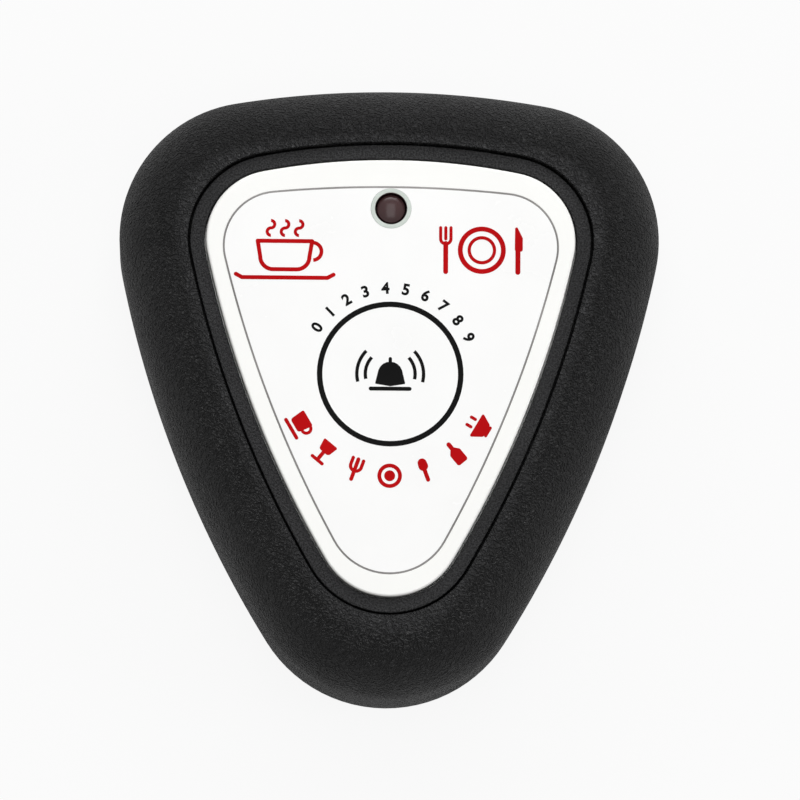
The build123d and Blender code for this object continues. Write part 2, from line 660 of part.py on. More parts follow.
def make_transistor_legs():
    """Two legs on one side and one on the other."""
    low = BOARD_BOTTOM - TRANSISTOR_HEIGHT / 2
    places = [(-TRANSISTOR_LEG_PITCH, -1), (TRANSISTOR_LEG_PITCH, -1), (0, 1)]
    legs = []
    for offset, side in places:
        y = TRANSISTOR_Y + side * (TRANSISTOR_WIDTH / 2 + CHIP_LEG_THICKNESS)
        leg = block(TRANSISTOR_X + offset, y, CHIP_LEG_WIDTH, 2 * CHIP_LEG_THICKNESS, low, BOARD_BOTTOM)
        legs.append(leg)
    return Compound(legs)


def passive_row(x, first_y, count):
    """Row of small chip parts under the board."""
    low = BOARD_BOTTOM - PASSIVE_HEIGHT
    places = [first_y + index * PASSIVE_PITCH for index in range(count)]
    return Compound([block(x, y, PASSIVE_LENGTH, PASSIVE_WIDTH, low, BOARD_BOTTOM) for y in places])


def make_antenna_wire():
    """Bent wire loop under the board, beside its edge, with both ends soldered to it."""
    x = OPENING.half_width(ANTENNA_BOTTOM_Y, ANTENNA_EDGE_INSET)
    low = BOARD_BOTTOM - ANTENNA_DROP
    path = Polyline(
        (x, ANTENNA_TOP_Y, BOARD_BOTTOM),
        (x, ANTENNA_TOP_Y, low + ANTENNA_BEND),
        (x, ANTENNA_TOP_Y - ANTENNA_BEND, low),
        (x, ANTENNA_BOTTOM_Y + ANTENNA_BEND, low),
        (x, ANTENNA_BOTTOM_Y, low + ANTENNA_BEND),
        (x, ANTENNA_BOTTOM_Y, BOARD_BOTTOM),
    )
    section = Pos(x, ANTENNA_TOP_Y, BOARD_BOTTOM) * Circle(ANTENNA_WIRE_RADIUS)
    return sweep(section, path=path, transition=Transition.RIGHT)


def make_base_plate():
    """Flat back with a locating rib, board posts, sunk screw holes and a shallow pad recess."""
    plate = BODY.prism(0, BASE_THICKNESS, REBATE_INSET + BASE_CLEARANCE)
    plate = chamfer(plate.edges().group_by(Axis.Z)[0], BASE_CHAMFER)
    rib_outer = SHELL_WALL + BASE_RIB_CLEARANCE
    plate += BODY.ring(BASE_THICKNESS, GASKET_LEDGE, rib_outer, rib_outer + BASE_RIB)
    for point in base_post_points():
        plate += rod(point.X, point.Y, BASE_POST_RADIUS, BASE_THICKNESS, BOARD_BOTTOM)
    plate = clear_of_bosses(plate, BASE_THICKNESS, GASKET_LEDGE)
    plate -= BODY.prism(0, PAD_DEPTH, PAD_INSET)
    sink_top = SCREW_HEAD_RECESS + SCREW_HEAD_HEIGHT
    for point in boss_points():
        plate -= rod(point.X, point.Y, SCREW_HEAD_RADIUS + HOLE_CLEARANCE, 0, sink_top)
        plate -= rod(point.X, point.Y, SCREW_RADIUS + HOLE_CLEARANCE / 2, sink_top, BASE_THICKNESS)
    return plate


def make_base_gasket():
    """Soft ring between the base plate and the ledge in the surround."""
    outer = REBATE_INSET + GASKET_CLEARANCE
    return BODY.ring(BASE_THICKNESS, GASKET_LEDGE, outer, outer + GASKET_WIDTH)


def make_base_screws():
    """Three screws from the back into the bosses of the surround."""
    return Compound([screw(point, SCREW_HEAD_RECESS, BASE_SCREW_LENGTH) for point in boss_points()])


def main():
    """Build every node and write one STEP file for each."""
    nodes = {
        "surround": make_surround(),
        "bezel_frame": make_bezel_frame(),
        "key_plate": make_key_plate(),
        "face_film": make_face_film(),
        "led_collar": make_led_collar(),
        "led_lens": make_led_lens(),
        "led_leads": make_led_leads(),
        "led_spacer": make_led_spacer(),
        "circuit_board": make_circuit_board(),
        "key_membrane": make_key_membrane(),
        "board_screws": make_board_screws(),
        "switch_housing": make_switch_housing(),
        "switch_cover": make_switch_cover(),
        "switch_plunger": make_switch_plunger(),
        "switch_dome": make_switch_dome(),
        "switch_terminals": make_switch_terminals(),
        "battery_holder": make_battery_holder(),
        "coin_cell": make_coin_cell(),
        "positive_contact": make_positive_contact(),
        "negative_contact": make_negative_contact(),
        "encoder_chip": make_encoder_chip(),
        "encoder_legs": make_encoder_legs(),
        "resonator_can": make_resonator_can(),
        "rf_transistor": make_rf_transistor(),
        "transistor_legs": make_transistor_legs(),
        "chip_resistors": passive_row(-PASSIVE_X, RESISTOR_Y, RESISTOR_COUNT),
        "chip_capacitors": passive_row(PASSIVE_X, CAPACITOR_Y, CAPACITOR_COUNT),
        "antenna_wire": make_antenna_wire(),
        "base_plate": make_base_plate(),
        "base_gasket": make_base_gasket(),
        "base_screws": make_base_screws(),
    }
    os.makedirs("parts", exist_ok=True)
    for name, shape in nodes.items():
        export_step(shape, f"parts/{name}.step")


main()
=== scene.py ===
"""Looks of a table call button: grained surround, matt bezel, white key, printed film and lamp.

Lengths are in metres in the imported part's frame: +Z up out of the key, +Y towards the wide end.
"""

import json
import logging
import math
from dataclasses import dataclass, field
from enum import Enum
from functools import cached_property
from typing import Optional, Sequence, Union

import bmesh
import bpy
from mathutils import Matrix, Vector

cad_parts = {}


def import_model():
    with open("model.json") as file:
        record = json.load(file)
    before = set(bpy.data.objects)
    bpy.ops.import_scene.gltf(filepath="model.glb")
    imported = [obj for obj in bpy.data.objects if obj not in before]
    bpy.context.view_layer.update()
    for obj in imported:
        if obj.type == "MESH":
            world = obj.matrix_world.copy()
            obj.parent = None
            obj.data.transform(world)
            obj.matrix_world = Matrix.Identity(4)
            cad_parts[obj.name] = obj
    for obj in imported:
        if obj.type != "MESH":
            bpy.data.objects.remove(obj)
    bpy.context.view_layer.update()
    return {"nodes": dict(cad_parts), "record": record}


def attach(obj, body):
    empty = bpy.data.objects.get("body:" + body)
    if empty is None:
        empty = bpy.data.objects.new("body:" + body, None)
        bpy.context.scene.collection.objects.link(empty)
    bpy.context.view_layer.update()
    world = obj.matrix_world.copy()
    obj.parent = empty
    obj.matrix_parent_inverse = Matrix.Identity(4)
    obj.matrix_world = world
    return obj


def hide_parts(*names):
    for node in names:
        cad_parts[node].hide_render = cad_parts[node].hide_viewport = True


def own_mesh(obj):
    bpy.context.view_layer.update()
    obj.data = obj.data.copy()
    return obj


LOG = logging.getLogger("call_button")

MM = 0.001
MERGE_DISTANCE = 2e-6
FINE_MERGE = 2e-7
SECTOR_SLACK = 1e-6
ORDER_WAY = Vector((1.0, math.sqrt(2), math.sqrt(3)))
SHARP_ANGLE = math.radians(32)
CIRCLE_STEPS = 72
CORNER_STEPS = 26
TOP_STEPS = 36
SIDE_STEPS = 30
TIP_STEPS = 26
EDGE_STEPS = 4
LIP_STEPS = 5
SPOT_STEPS = 20
BOW_STEP = math.radians(5)
FEWEST_BOW_STEPS = 4
FLAT_ANGLE = math.radians(0.5)
CAP_SHARE = 0.68
DIGIT_STEPS = 4
# Heights over which the painted light on the surround's flat top grows.
TOP_LIGHT_BAND = (16.25 * MM, 16.5 * MM)
WORN_SIDE = (10.0 * MM, 15.5 * MM)
LAMP_Y = 18.935 * MM
COLLAR_BORE = 1.7 * MM
CLOUD_BAND = (0.35, 0.65)
# Distances past the bore over which its painted shade fades out.
BORE_SHADE_EDGE = (0.01 * MM, 0.04 * MM)
LINE_STRETCH = (1.0, 14.0, 4.0)
IMAGE_WIDTH_PX = 800

Colour = tuple[float, float, float]
Materials = dict[str, bpy.types.Material]
Section = Sequence[tuple[float, float]]
Socket = bpy.types.NodeSocket
SocketValue = Union[Socket, float, Sequence[float]]


# ---------------------------------------------------------------- plan outlines
@dataclass(frozen=True)
class Arc:
    """One arc of a closed outline, run anticlockwise about its centre."""

    centre: Vector
    radius: float
    start: float
    sweep: float
    steps: int

    def inset_at(self, point: Vector) -> Optional[float]:
        """Distance inside the arc of a plan point.

        Args:
            point: The plan point.

        Returns:
            The distance, or None for a point outside the arc's sector.
        """
        offset = (point - self.centre).xy
        turn = (math.atan2(offset.y, offset.x) - self.start) % math.tau
        if self.sweep + SECTOR_SLACK < turn < math.tau - SECTOR_SLACK:
            return None
        return self.radius - offset.length


@dataclass(frozen=True)
class PickOutline:
    """Rounded triangle of six tangent arcs, wide end at +Y, symmetric about the Y axis."""

    length: float
    width: float
    top_radius: float
    corner_radius: float
    side_radius: float
    tip_radius: float
    centre_y: float = 0.0

    def _side_centre(self, corner: Vector, tip: Vector) -> Vector:
        """Centre of the right-hand side arc.

        Args:
            corner: Centre of the right-hand corner arc.
            tip: Centre of the tip arc.

        Returns:
            The point at its set distances from both centres, on the far side.
        """
        to_tip = self.side_radius - self.tip_radius
        to_corner = self.side_radius - self.corner_radius
        line = corner - tip
        along = (to_tip**2 - to_corner**2 + line.length_squared) / (2 * line.length)
        across = math.sqrt(to_tip**2 - along**2)
        unit = line.normalized()
        return tip + unit * along + Vector((-unit.y, unit.x, 0)) * across

    @cached_property
    def arcs(self) -> tuple[Arc, ...]:
        """The six arcs of the outline.

        Returns:
            Right corner, top, left corner, left side, tip and right side, in order.
        """
        top = Vector((0, self.centre_y + self.length / 2 - self.top_radius, 0))
        corner_x = self.width / 2 - self.corner_radius
        rise = math.sqrt((self.top_radius - self.corner_radius) ** 2 - corner_x**2)
        corner = Vector((corner_x, top.y + rise, 0))
        tip = Vector((0, self.centre_y - self.length / 2 + self.tip_radius, 0))
        side = self._side_centre(corner, tip)
        flip = Vector((-1, 1, 1))
        shoulder = math.atan2(corner.y - top.y, corner.x - top.x)
        hip = math.atan2(corner.y - side.y, corner.x - side.x)
        toe = math.atan2(tip.y - side.y, tip.x - side.x)
        corner_sweep = shoulder - hip
        side_sweep = hip - toe
        return (
            Arc(corner, self.corner_radius, hip, corner_sweep, CORNER_STEPS),
            Arc(top, self.top_radius, shoulder, math.pi - 2 * shoulder, TOP_STEPS),
            Arc(corner * flip, self.corner_radius, math.pi - shoulder, corner_sweep, CORNER_STEPS),
            Arc(side * flip, self.side_radius, math.pi - hip, side_sweep, SIDE_STEPS),
            Arc(tip, self.tip_radius, math.pi - toe, math.pi + 2 * toe, TIP_STEPS),
            Arc(side, self.side_radius, toe, side_sweep, SIDE_STEPS),
        )

    def inset_at(self, point: Vector) -> float:
        """How far inside the outline a plan point near it lies."""
        insets = [arc.inset_at(point) for arc in self.arcs]
        return min(inset for inset in insets if inset is not None)

    def corner_points(self, angle: float, inset: float) -> list[Vector]:
        """One point in each rounded corner.

        Args:
            angle: Direction from the right-hand corner's centre, in radians from +X.
            inset: Distance inside the outline.

        Returns:
            Points in the right corner, the left corner and the tip.
        """
        corner, tip = self.arcs[0], self.arcs[4]
        reach = Vector((math.cos(angle), math.sin(angle), 0)) * (corner.radius - inset)
        right = corner.centre + reach
        return [right, right * Vector((-1, 1, 1)), tip.centre - Vector((0, tip.radius - inset, 0))]


BODY = PickOutline(65.74 * MM, 58.0 * MM, 98.2 * MM, 14.8 * MM, 121.3 * MM, 15.1 * MM)
OPENING = PickOutline(50.97 * MM, 43.34 * MM, 72.7 * MM, 9.41 * MM, 113.9 * MM, 9.73 * MM, 0.71 * MM)
FILM = PickOutline(41.59 * MM, 35.64 * MM, 126.5 * MM, 5.8 * MM, 126.0 * MM, 6.66 * MM, 0.44 * MM)


# ---------------------------------------------------------------- mesh helpers
def quarter(centre: tuple[float, float], radius: float, start: float, end: float, steps: int) -> Section:
    """Points of an arc in a section.

    Args:
        centre: Inset and height of the arc's centre.
        radius: Radius of the arc.
        start: First angle in degrees, from the direction of growing inset.
        end: Last angle in degrees.
        steps: Number of straight pieces.

    Returns:
        The points, both ends among them.
    """
    turns = [math.radians(start + (end - start) * step / steps) for step in range(steps + 1)]
    return [(centre[0] + radius * math.cos(t), centre[1] + radius * math.sin(t)) for t in turns]


def lay_section(bm: bmesh.types.BMesh, points: Sequence[Vector], closed: bool) -> list:
    """Joins points by edges, in order.

    Args:
        bm: Mesh that takes the new geometry.
        points: Points of the section.
        closed: Whether the last point joins the first.

    Returns:
        The new vertices and edges.
    """
    verts = [bm.verts.new(point) for point in points]
    pairs = list(zip(verts, verts[1:]))
    if closed:
        pairs.append((verts[-1], verts[0]))
    return verts + [bm.edges.new(pair) for pair in pairs]


def put_in_order(bm: bmesh.types.BMesh) -> None:
    """Sorts a mesh's elements by place, since spin hands them over in another order each run.

    Args:
        bm: The mesh, whose shape stays as it is.
    """
    bm.verts.sort(key=lambda vert: ORDER_WAY.dot(vert.co))
    bm.edges.sort(key=lambda edge: ORDER_WAY.dot(edge.verts[0].co + edge.verts[1].co))
    bm.faces.sort(key=lambda face: ORDER_WAY.dot(face.calc_center_median()))


def merge_doubles(bm: bmesh.types.BMesh, merge: float = MERGE_DISTANCE) -> None:
    """Merges doubles and leaves every element in a fixed order.

    Args:
        bm: The mesh.
        merge: Distance below which vertices are one.
    """
    put_in_order(bm)
    bmesh.ops.remove_doubles(bm, verts=bm.verts, dist=merge)
    put_in_order(bm)


def carry_round(bm: bmesh.types.BMesh, outline: PickOutline, section: Section, closed: bool = False) -> None:
    """Carries a section round the six arcs of an outline until it meets itself.

    Args:
        bm: Mesh that takes the new faces.
        outline: Outline that the section follows.
        section: Inset and height of each point, in order.
        closed: Whether the last point joins the first.
    """
    first = outline.arcs[0]
    way = Vector((math.cos(first.start), math.sin(first.start), 0))
    points = [first.centre + way * (first.radius - inset) + Vector((0, 0, z)) for inset, z in section]
    geometry = lay_section(bm, points, closed)
    for arc in outline.arcs:
        turned = bmesh.ops.spin(
            bm, geom=geometry, cent=arc.centre, axis=(0, 0, 1), dvec=(0, 0, 0),
            angle=arc.sweep, steps=arc.steps, use_merge=False, use_duplicate=False,
        )
        geometry = turned["geom_last"]
    merge_doubles(bm)


def turn_round(bm: bmesh.types.BMesh, centre: Vector, section: Section, closed: bool = False) -> None:
    """Turns a section about an upright axis.

    Args:
        bm: Mesh that takes the new faces.
        centre: Point on the axis.
        section: Radius and height of each point, in order.
        closed: Whether the last point joins the first.
    """
    axis = Vector((centre.x, centre.y, 0))
    points = [axis + Vector((radius, 0, z)) for radius, z in section]
    geometry = lay_section(bm, points, closed)
    bmesh.ops.spin(
        bm, geom=geometry, cent=axis, axis=(0, 0, 1), dvec=(0, 0, 0),
        angle=math.tau, steps=CIRCLE_STEPS, use_merge=True, use_duplicate=False,
    )
    merge_doubles(bm)


def open_edges(bm: bmesh.types.BMesh, low: float, high: float) -> list:
    """Boundary edges that lie between two heights."""
    return [
        edge for edge in bm.edges
        if edge.is_boundary and all(low <= vert.co.z <= high for vert in edge.verts)
    ]


def bridge_above(bm: bmesh.types.BMesh, height: float) -> dict:
    """Joins the two open loops above a height, which differ in level so that they pair up rightly."""
    return bmesh.ops.bridge_loops(bm, edges=open_edges(bm, height, math.inf))


def fill_level(bm: bmesh.types.BMesh, height: float) -> None:
    """Fills the flat region at a height between the open loops there."""
    edges = open_edges(bm, height - MERGE_DISTANCE, height + MERGE_DISTANCE)
    bmesh.ops.triangle_fill(bm, use_beauty=True, use_dissolve=False, edges=edges, normal=(0, 0, 1))


def close_shell(bm: bmesh.types.BMesh, merge: float = MERGE_DISTANCE) -> None:
    """Merges doubles, turns every face outwards and reports edges that stay open.

    Args:
        bm: Mesh of one or more closed shells.
        merge: Distance below which vertices are one.
    """
    merge_doubles(bm, merge)
    bmesh.ops.recalc_face_normals(bm, faces=bm.faces)
    gaps = sum(1 for edge in bm.edges if not edge.is_manifold)
    if gaps:
        LOG.warning("%d edges of a shell aren't closed", gaps)


def to_mesh(bm: bmesh.types.BMesh, name: str) -> bpy.types.Mesh:
    """Writes a bmesh to a new mesh and frees it.

    Args:
        bm: The bmesh, which is used up.
        name: The mesh's name.

    Returns:
        The new mesh.
    """
    mesh = bpy.data.meshes.new(name)
    bm.to_mesh(mesh)
    bm.free()
    return mesh


def finish_shell(bm: bmesh.types.BMesh, name: str) -> bpy.types.Mesh:
    """Closed shell as a mesh."""
    close_shell(bm)
    return to_mesh(bm, name)


def rods(places: Sequence[Vector], radius: float, bottom: float, top: float, name: str) -> bpy.types.Mesh:
    """Closed upright rods of one size.

    Args:
        places: Points on the rods' axes.
        radius: Their radius.
        bottom: Their lower end.
        top: Their upper end.
        name: The mesh's name.

    Returns:
        One mesh with all the rods.
    """
    bm = bmesh.new()
    for place in places:
        turn_round(bm, place, [(0, bottom), (radius, bottom), (radius, top), (0, top)])
    return finish_shell(bm, name)


class Carve(Enum):
    """How a tool shape changes a piece."""

    JOIN = "UNION"
    CUT = "DIFFERENCE"


def carve(
    mesh: bpy.types.Mesh, tools: Sequence[tuple[Carve, bpy.types.Mesh]], crossing: bool = False
) -> bpy.types.Mesh:
    """Joins tool shapes to a closed shell or cuts them from it.

    Args:
        mesh: The shell, which is used up.
        tools: Pairs of a way to carve and a closed tool mesh, applied in order.
        crossing: Whether the shapes within one mesh cross each other.

    Returns:
        A new mesh with the carving done.
    """
    scene = bpy.context.scene
    work = bpy.data.objects.new(mesh.name, mesh)
    scene.collection.objects.link(work)
    helpers = []
    for way, tool in tools:
        helper = bpy.data.objects.new(tool.name, tool)
        scene.collection.objects.link(helper)
        helpers.append(helper)
        modifier = work.modifiers.new(tool.name, "BOOLEAN")
        modifier.operation = way.value
        modifier.solver = "EXACT"
        modifier.use_self = crossing
        modifier.object = helper
    bpy.context.view_layer.update()
    evaluated = work.evaluated_get(bpy.context.evaluated_depsgraph_get())
    carved = bpy.data.meshes.new_from_object(evaluated)
    for helper in [work, *helpers]:
        bpy.data.objects.remove(helper)
    merge = FINE_MERGE if crossing else MERGE_DISTANCE
    bm = bmesh.new()
    bm.from_mesh(carved)
    merge_doubles(bm, merge)
    bmesh.ops.dissolve_degenerate(bm, edges=bm.edges, dist=merge)
    close_shell(bm, merge)
    return to_mesh(bm, mesh.name)


def show(
    mesh: bpy.types.Mesh, name: str, body: str, material: bpy.types.Material,
    stands_for: Sequence[str] = (),
) -> bpy.types.Object:
    """Makes a finished piece of a mesh.

    Args:
        mesh: The piece's mesh, in its place.
        name: The piece's name.
        body: The body that it moves with.
        material: Its material.
        stands_for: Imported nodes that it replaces.

    Returns:
        The new object, at the origin.
    """
    piece = bpy.data.objects.new(name, mesh)
    bpy.context.scene.collection.objects.link(piece)
    mesh.materials.clear()
    mesh.materials.append(material)
    mesh.shade_smooth()
    mesh.set_sharp_from_angle(angle=SHARP_ANGLE)
    even = piece.modifiers.new("even_shading", "WEIGHTED_NORMAL")
    even.keep_sharp = True
    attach(piece, body)
    if stands_for:
        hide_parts(*stands_for)
    LOG.info("%s: %d faces on %s", name, len(mesh.polygons), body)
    return piece


# ---------------------------------------------------------------- node helpers
class Graph:
    """Nodes of one material or group, added and linked by short calls."""

    def __init__(self, tree: bpy.types.NodeTree) -> None:
        """Takes the tree that the nodes go into."""
        self.tree = tree

    def feed(self, node: bpy.types.Node, inputs: dict) -> None:
        """Links or sets inputs of a node.

        Args:
            node: The node.
            inputs: Value or linked socket for each input, by name or number.
        """
        for key, value in inputs.items():
            if isinstance(value, bpy.types.NodeSocket):
                self.tree.links.new(value, node.inputs[key])
            else:
                node.inputs[key].default_value = value

    def add(self, kind: str, inputs: Optional[dict] = None, **settings: object) -> bpy.types.Node:
        """Adds a node.

        Args:
            kind: The node's type name.
            inputs: Value or linked socket for each input, by name or number.
            settings: Properties of the node itself.

        Returns:
            The new node.
        """
        node = self.tree.nodes.new(kind)
        for name, value in settings.items():
            setattr(node, name, value)
        self.feed(node, inputs or {})
        return node

    def math(self, operation: str, first: SocketValue, second: SocketValue = 0.0) -> Socket:
        """Result of a math node on two values."""
        return self.add("ShaderNodeMath", {0: first, 1: second}, operation=operation).outputs[0]

    def vector(self, operation: str, first: SocketValue, second: SocketValue) -> Socket:
        """Result of a vector math node on two vectors."""
        return self.add("ShaderNodeVectorMath", {0: first, 1: second}, operation=operation).outputs[0]

    def noise(
        self, place: Socket, scale: SocketValue, detail: float, roughness: float = 0.5
    ) -> bpy.types.Node:
        """Noise texture at a place."""
        inputs = {"Vector": place, "Scale": scale, "Detail": detail, "Roughness": roughness}
        return self.add("ShaderNodeTexNoise", inputs)

    def spread(
        self, value: Socket, low: SocketValue, high: SocketValue, to_low: SocketValue, to_high: SocketValue
    ) -> Socket:
        """Value moved from one range to another, held at both ends."""
        inputs = {"Value": value, "From Min": low, "From Max": high, "To Min": to_low, "To Max": to_high}
        return self.add("ShaderNodeMapRange", inputs, clamp=True).outputs["Result"]

    def blend(self, factor: SocketValue, first: SocketValue, second: SocketValue) -> Socket:
        """Colour between two colours."""
        inputs = {0: factor, 6: first, 7: second}
        return self.add("ShaderNodeMix", inputs, data_type="RGBA").outputs[2]


def empty_graph(block: Union[bpy.types.Material, bpy.types.World]) -> Graph:
    """Starts the nodes of a material or world.

    Args:
        block: The material or world.

    Returns:
        Its graph, emptied.
    """
    block.use_nodes = True
    block.node_tree.nodes.clear()
    return Graph(block.node_tree)


class GroupDraft:
    """Shared node group in the making, which reads a vector and some values and puts out one value."""

    def __init__(self, name: str, output: str, **inputs: float) -> None:
        """Starts the group.

        Args:
            name: The group's name.
            output: Name of the value that it puts out.
            inputs: Name and default of each value input.
        """
        self.tree = bpy.data.node_groups.new(name, "ShaderNodeTree")
        self.tree.interface.new_socket("Vector", in_out="INPUT", socket_type="NodeSocketVector")
        for label, value in inputs.items():
            socket = self.tree.interface.new_socket(label, in_out="INPUT", socket_type="NodeSocketFloat")
            socket.default_value = value
        self.tree.interface.new_socket(output, in_out="OUTPUT", socket_type="NodeSocketFloat")
        self.graph = Graph(self.tree)
        self.given = self.graph.add("NodeGroupInput").outputs
        self._end = self.graph.add("NodeGroupOutput")

    def finish(self, value: Socket) -> bpy.types.NodeTree:
        """Puts out a value and hands over the finished group."""
        self.graph.feed(self._end, {0: value})
        return self.tree


@dataclass(frozen=True)
class LeatherGrain:
    """Group whose Height is a fine moulded leather grain of short wrinkles and pebbles."""

    warp_scale: float = 900.0
    warp_reach: float = 0.9 * MM
    pebble_edge: float = 0.35
    pebble_height: float = 0.25
    fold_share: float = 0.7
    fold_width: float = 0.15
    fold_height: float = 0.75

    def make(self) -> bpy.types.NodeTree:
        """Builds the group.

        Returns:
            The group, with the input Scale.
        """
        draft = GroupDraft("leather_grain", "Height", Scale=2600.0)
        graph, given = draft.graph, draft.given
        warp = graph.noise(given["Vector"], self.warp_scale, detail=2.0)
        shift = graph.vector("SUBTRACT", warp.outputs["Color"], (0.5, 0.5, 0.5))
        push = graph.vector("MULTIPLY", shift, (self.warp_reach,) * 3)
        place = graph.vector("ADD", given["Vector"], push)
        cells = graph.add(
            "ShaderNodeTexVoronoi", {"Vector": place, "Scale": given["Scale"]}, feature="DISTANCE_TO_EDGE"
        )
        pebble = graph.spread(cells.outputs["Distance"], 0.0, self.pebble_edge, 0.0, self.pebble_height)
        fold_scale = graph.math("MULTIPLY", given["Scale"], self.fold_share)
        folds = graph.noise(place, fold_scale, detail=0.5)
        ridge = graph.math("ABSOLUTE", graph.math("SUBTRACT", folds.outputs["Fac"], 0.5))
        wrinkle = graph.spread(ridge, 0.0, self.fold_width, self.fold_height, 0.0)
        return draft.finish(graph.math("ADD", pebble, wrinkle))


def moulded_texture() -> bpy.types.NodeTree:
    """Builds the group whose Height is the even, very fine texture of a spark-eroded mould.

    Returns:
        The group, with the input Scale.
    """
    draft = GroupDraft("moulded_texture", "Height", Scale=6000.0)
    pits = draft.graph.noise(draft.given["Vector"], draft.given["Scale"], detail=4.0, roughness=0.65)
    return draft.finish(pits.outputs["Fac"])


def handling_marks() -> bpy.types.NodeTree:
    """Builds the group whose Mask is the cloudy, uneven sheen that handling leaves on plastic.

    Returns:
        The group, with the input Scale.
    """
    draft = GroupDraft("handling_marks", "Mask", Scale=110.0)
    cloud = draft.graph.noise(draft.given["Vector"], draft.given["Scale"], detail=5.0, roughness=0.55)
    return draft.finish(draft.graph.spread(cloud.outputs["Fac"], *CLOUD_BAND, 0.0, 1.0))


def hand_wear() -> bpy.types.NodeTree:
    """Builds the group whose Mask grows towards the top of a moulding. It places a painted light on the top's
    colour, and the smoother top that hands rub.

    Returns:
        The group, with the inputs Low and High, the heights between which the Mask grows.
    """
    draft = GroupDraft("hand_wear", "Mask", Low=WORN_SIDE[0], High=WORN_SIDE[1])
    height = draft.graph.add("ShaderNodeSeparateXYZ", {"Vector": draft.given["Vector"]}).outputs["Z"]
    return draft.finish(draft.graph.spread(height, draft.given["Low"], draft.given["High"], 0.0, 1.0))


def bore_tint() -> bpy.types.NodeTree:
    """Builds the group whose Mask covers what lies round an upright axis on the middle plane, where a bore
    gets its painted shade.

    Returns:
        The group, with the inputs Y, the axis's place, and Radius.
    """
    draft = GroupDraft("bore_tint", "Mask", Y=0.0, Radius=1.0 * MM)
    graph, given = draft.graph, draft.given
    place = graph.add("ShaderNodeSeparateXYZ", {"Vector": given["Vector"]})
    along = graph.math("SUBTRACT", place.outputs["Y"], given["Y"])
    across = graph.math("POWER", place.outputs["X"], 2.0)
    squares = graph.math("ADD", across, graph.math("POWER", along, 2.0))
    reach = graph.math("SUBTRACT", graph.math("SQRT", squares), given["Radius"])
    return draft.finish(graph.spread(reach, *BORE_SHADE_EDGE, 1.0, 0.0))


def brushed_metal() -> bpy.types.NodeTree:
    """Builds the group whose Height is the fine lines of rolled and plated metal.

    Returns:
        The group, with the input Scale.
    """
    draft = GroupDraft("brushed_metal", "Height", Scale=900.0)
    stretch = draft.graph.vector("MULTIPLY", draft.given["Vector"], LINE_STRETCH)
    lines = draft.graph.noise(stretch, draft.given["Scale"], detail=4.0, roughness=0.6)
    return draft.finish(lines.outputs["Fac"])


class Grain(Enum):
    """Surface texture of a moulded finish."""

    LEATHER = "leather_grain"
    SPARK = "moulded_texture"


# Heights at which each texture's valleys end and its hill tops begin; painted shade darkens the valleys below
# them.
HILLS = {Grain.LEATHER: (0.1, 0.8), Grain.SPARK: (0.43, 0.57)}


class Effects:
    """The shared node groups, built once."""

    def __init__(self) -> None:
        """Builds every group."""
        self.grain = {Grain.LEATHER: LeatherGrain().make(), Grain.SPARK: moulded_texture()}
        self.marks = handling_marks()
        self.wear = hand_wear()
        self.bore = bore_tint()
        self.brushed = brushed_metal()


class MaterialDraft:
    """Material in the making: its graph, its shader and its Object coordinates."""

    def __init__(self, name: str) -> None:
        """Starts the material with an empty shader.

        Args:
            name: The material's name.
        """
        self.material = bpy.data.materials.new(name)
        self.graph = empty_graph(self.material)
        self.shader = self.graph.add("ShaderNodeBsdfPrincipled")
        self.graph.add("ShaderNodeOutputMaterial", {"Surface": self.shader.outputs[0]})
        self.coordinates = self.graph.add("ShaderNodeTexCoord").outputs["Object"]

    def effect(self, group: bpy.types.NodeTree, **values: float) -> Socket:
        """What a shared group puts out on this material, with the material's own values."""
        inputs = {"Vector": self.coordinates, **values}
        return self.graph.add("ShaderNodeGroup", inputs, node_tree=group).outputs[0]

    def bump(self, height: Socket, depth: float) -> Socket:
        """Normal of a surface whose hills rise by a depth in metres."""
        inputs = {"Height": height, "Distance": depth, "Strength": 1.0}
        return self.graph.add("ShaderNodeBump", inputs).outputs["Normal"]


def shade(colour: Colour, share: float) -> tuple[float, float, float, float]:
    """A share of a colour, with full alpha."""
    return (*(min(1.0, channel * share) for channel in colour), 1.0)


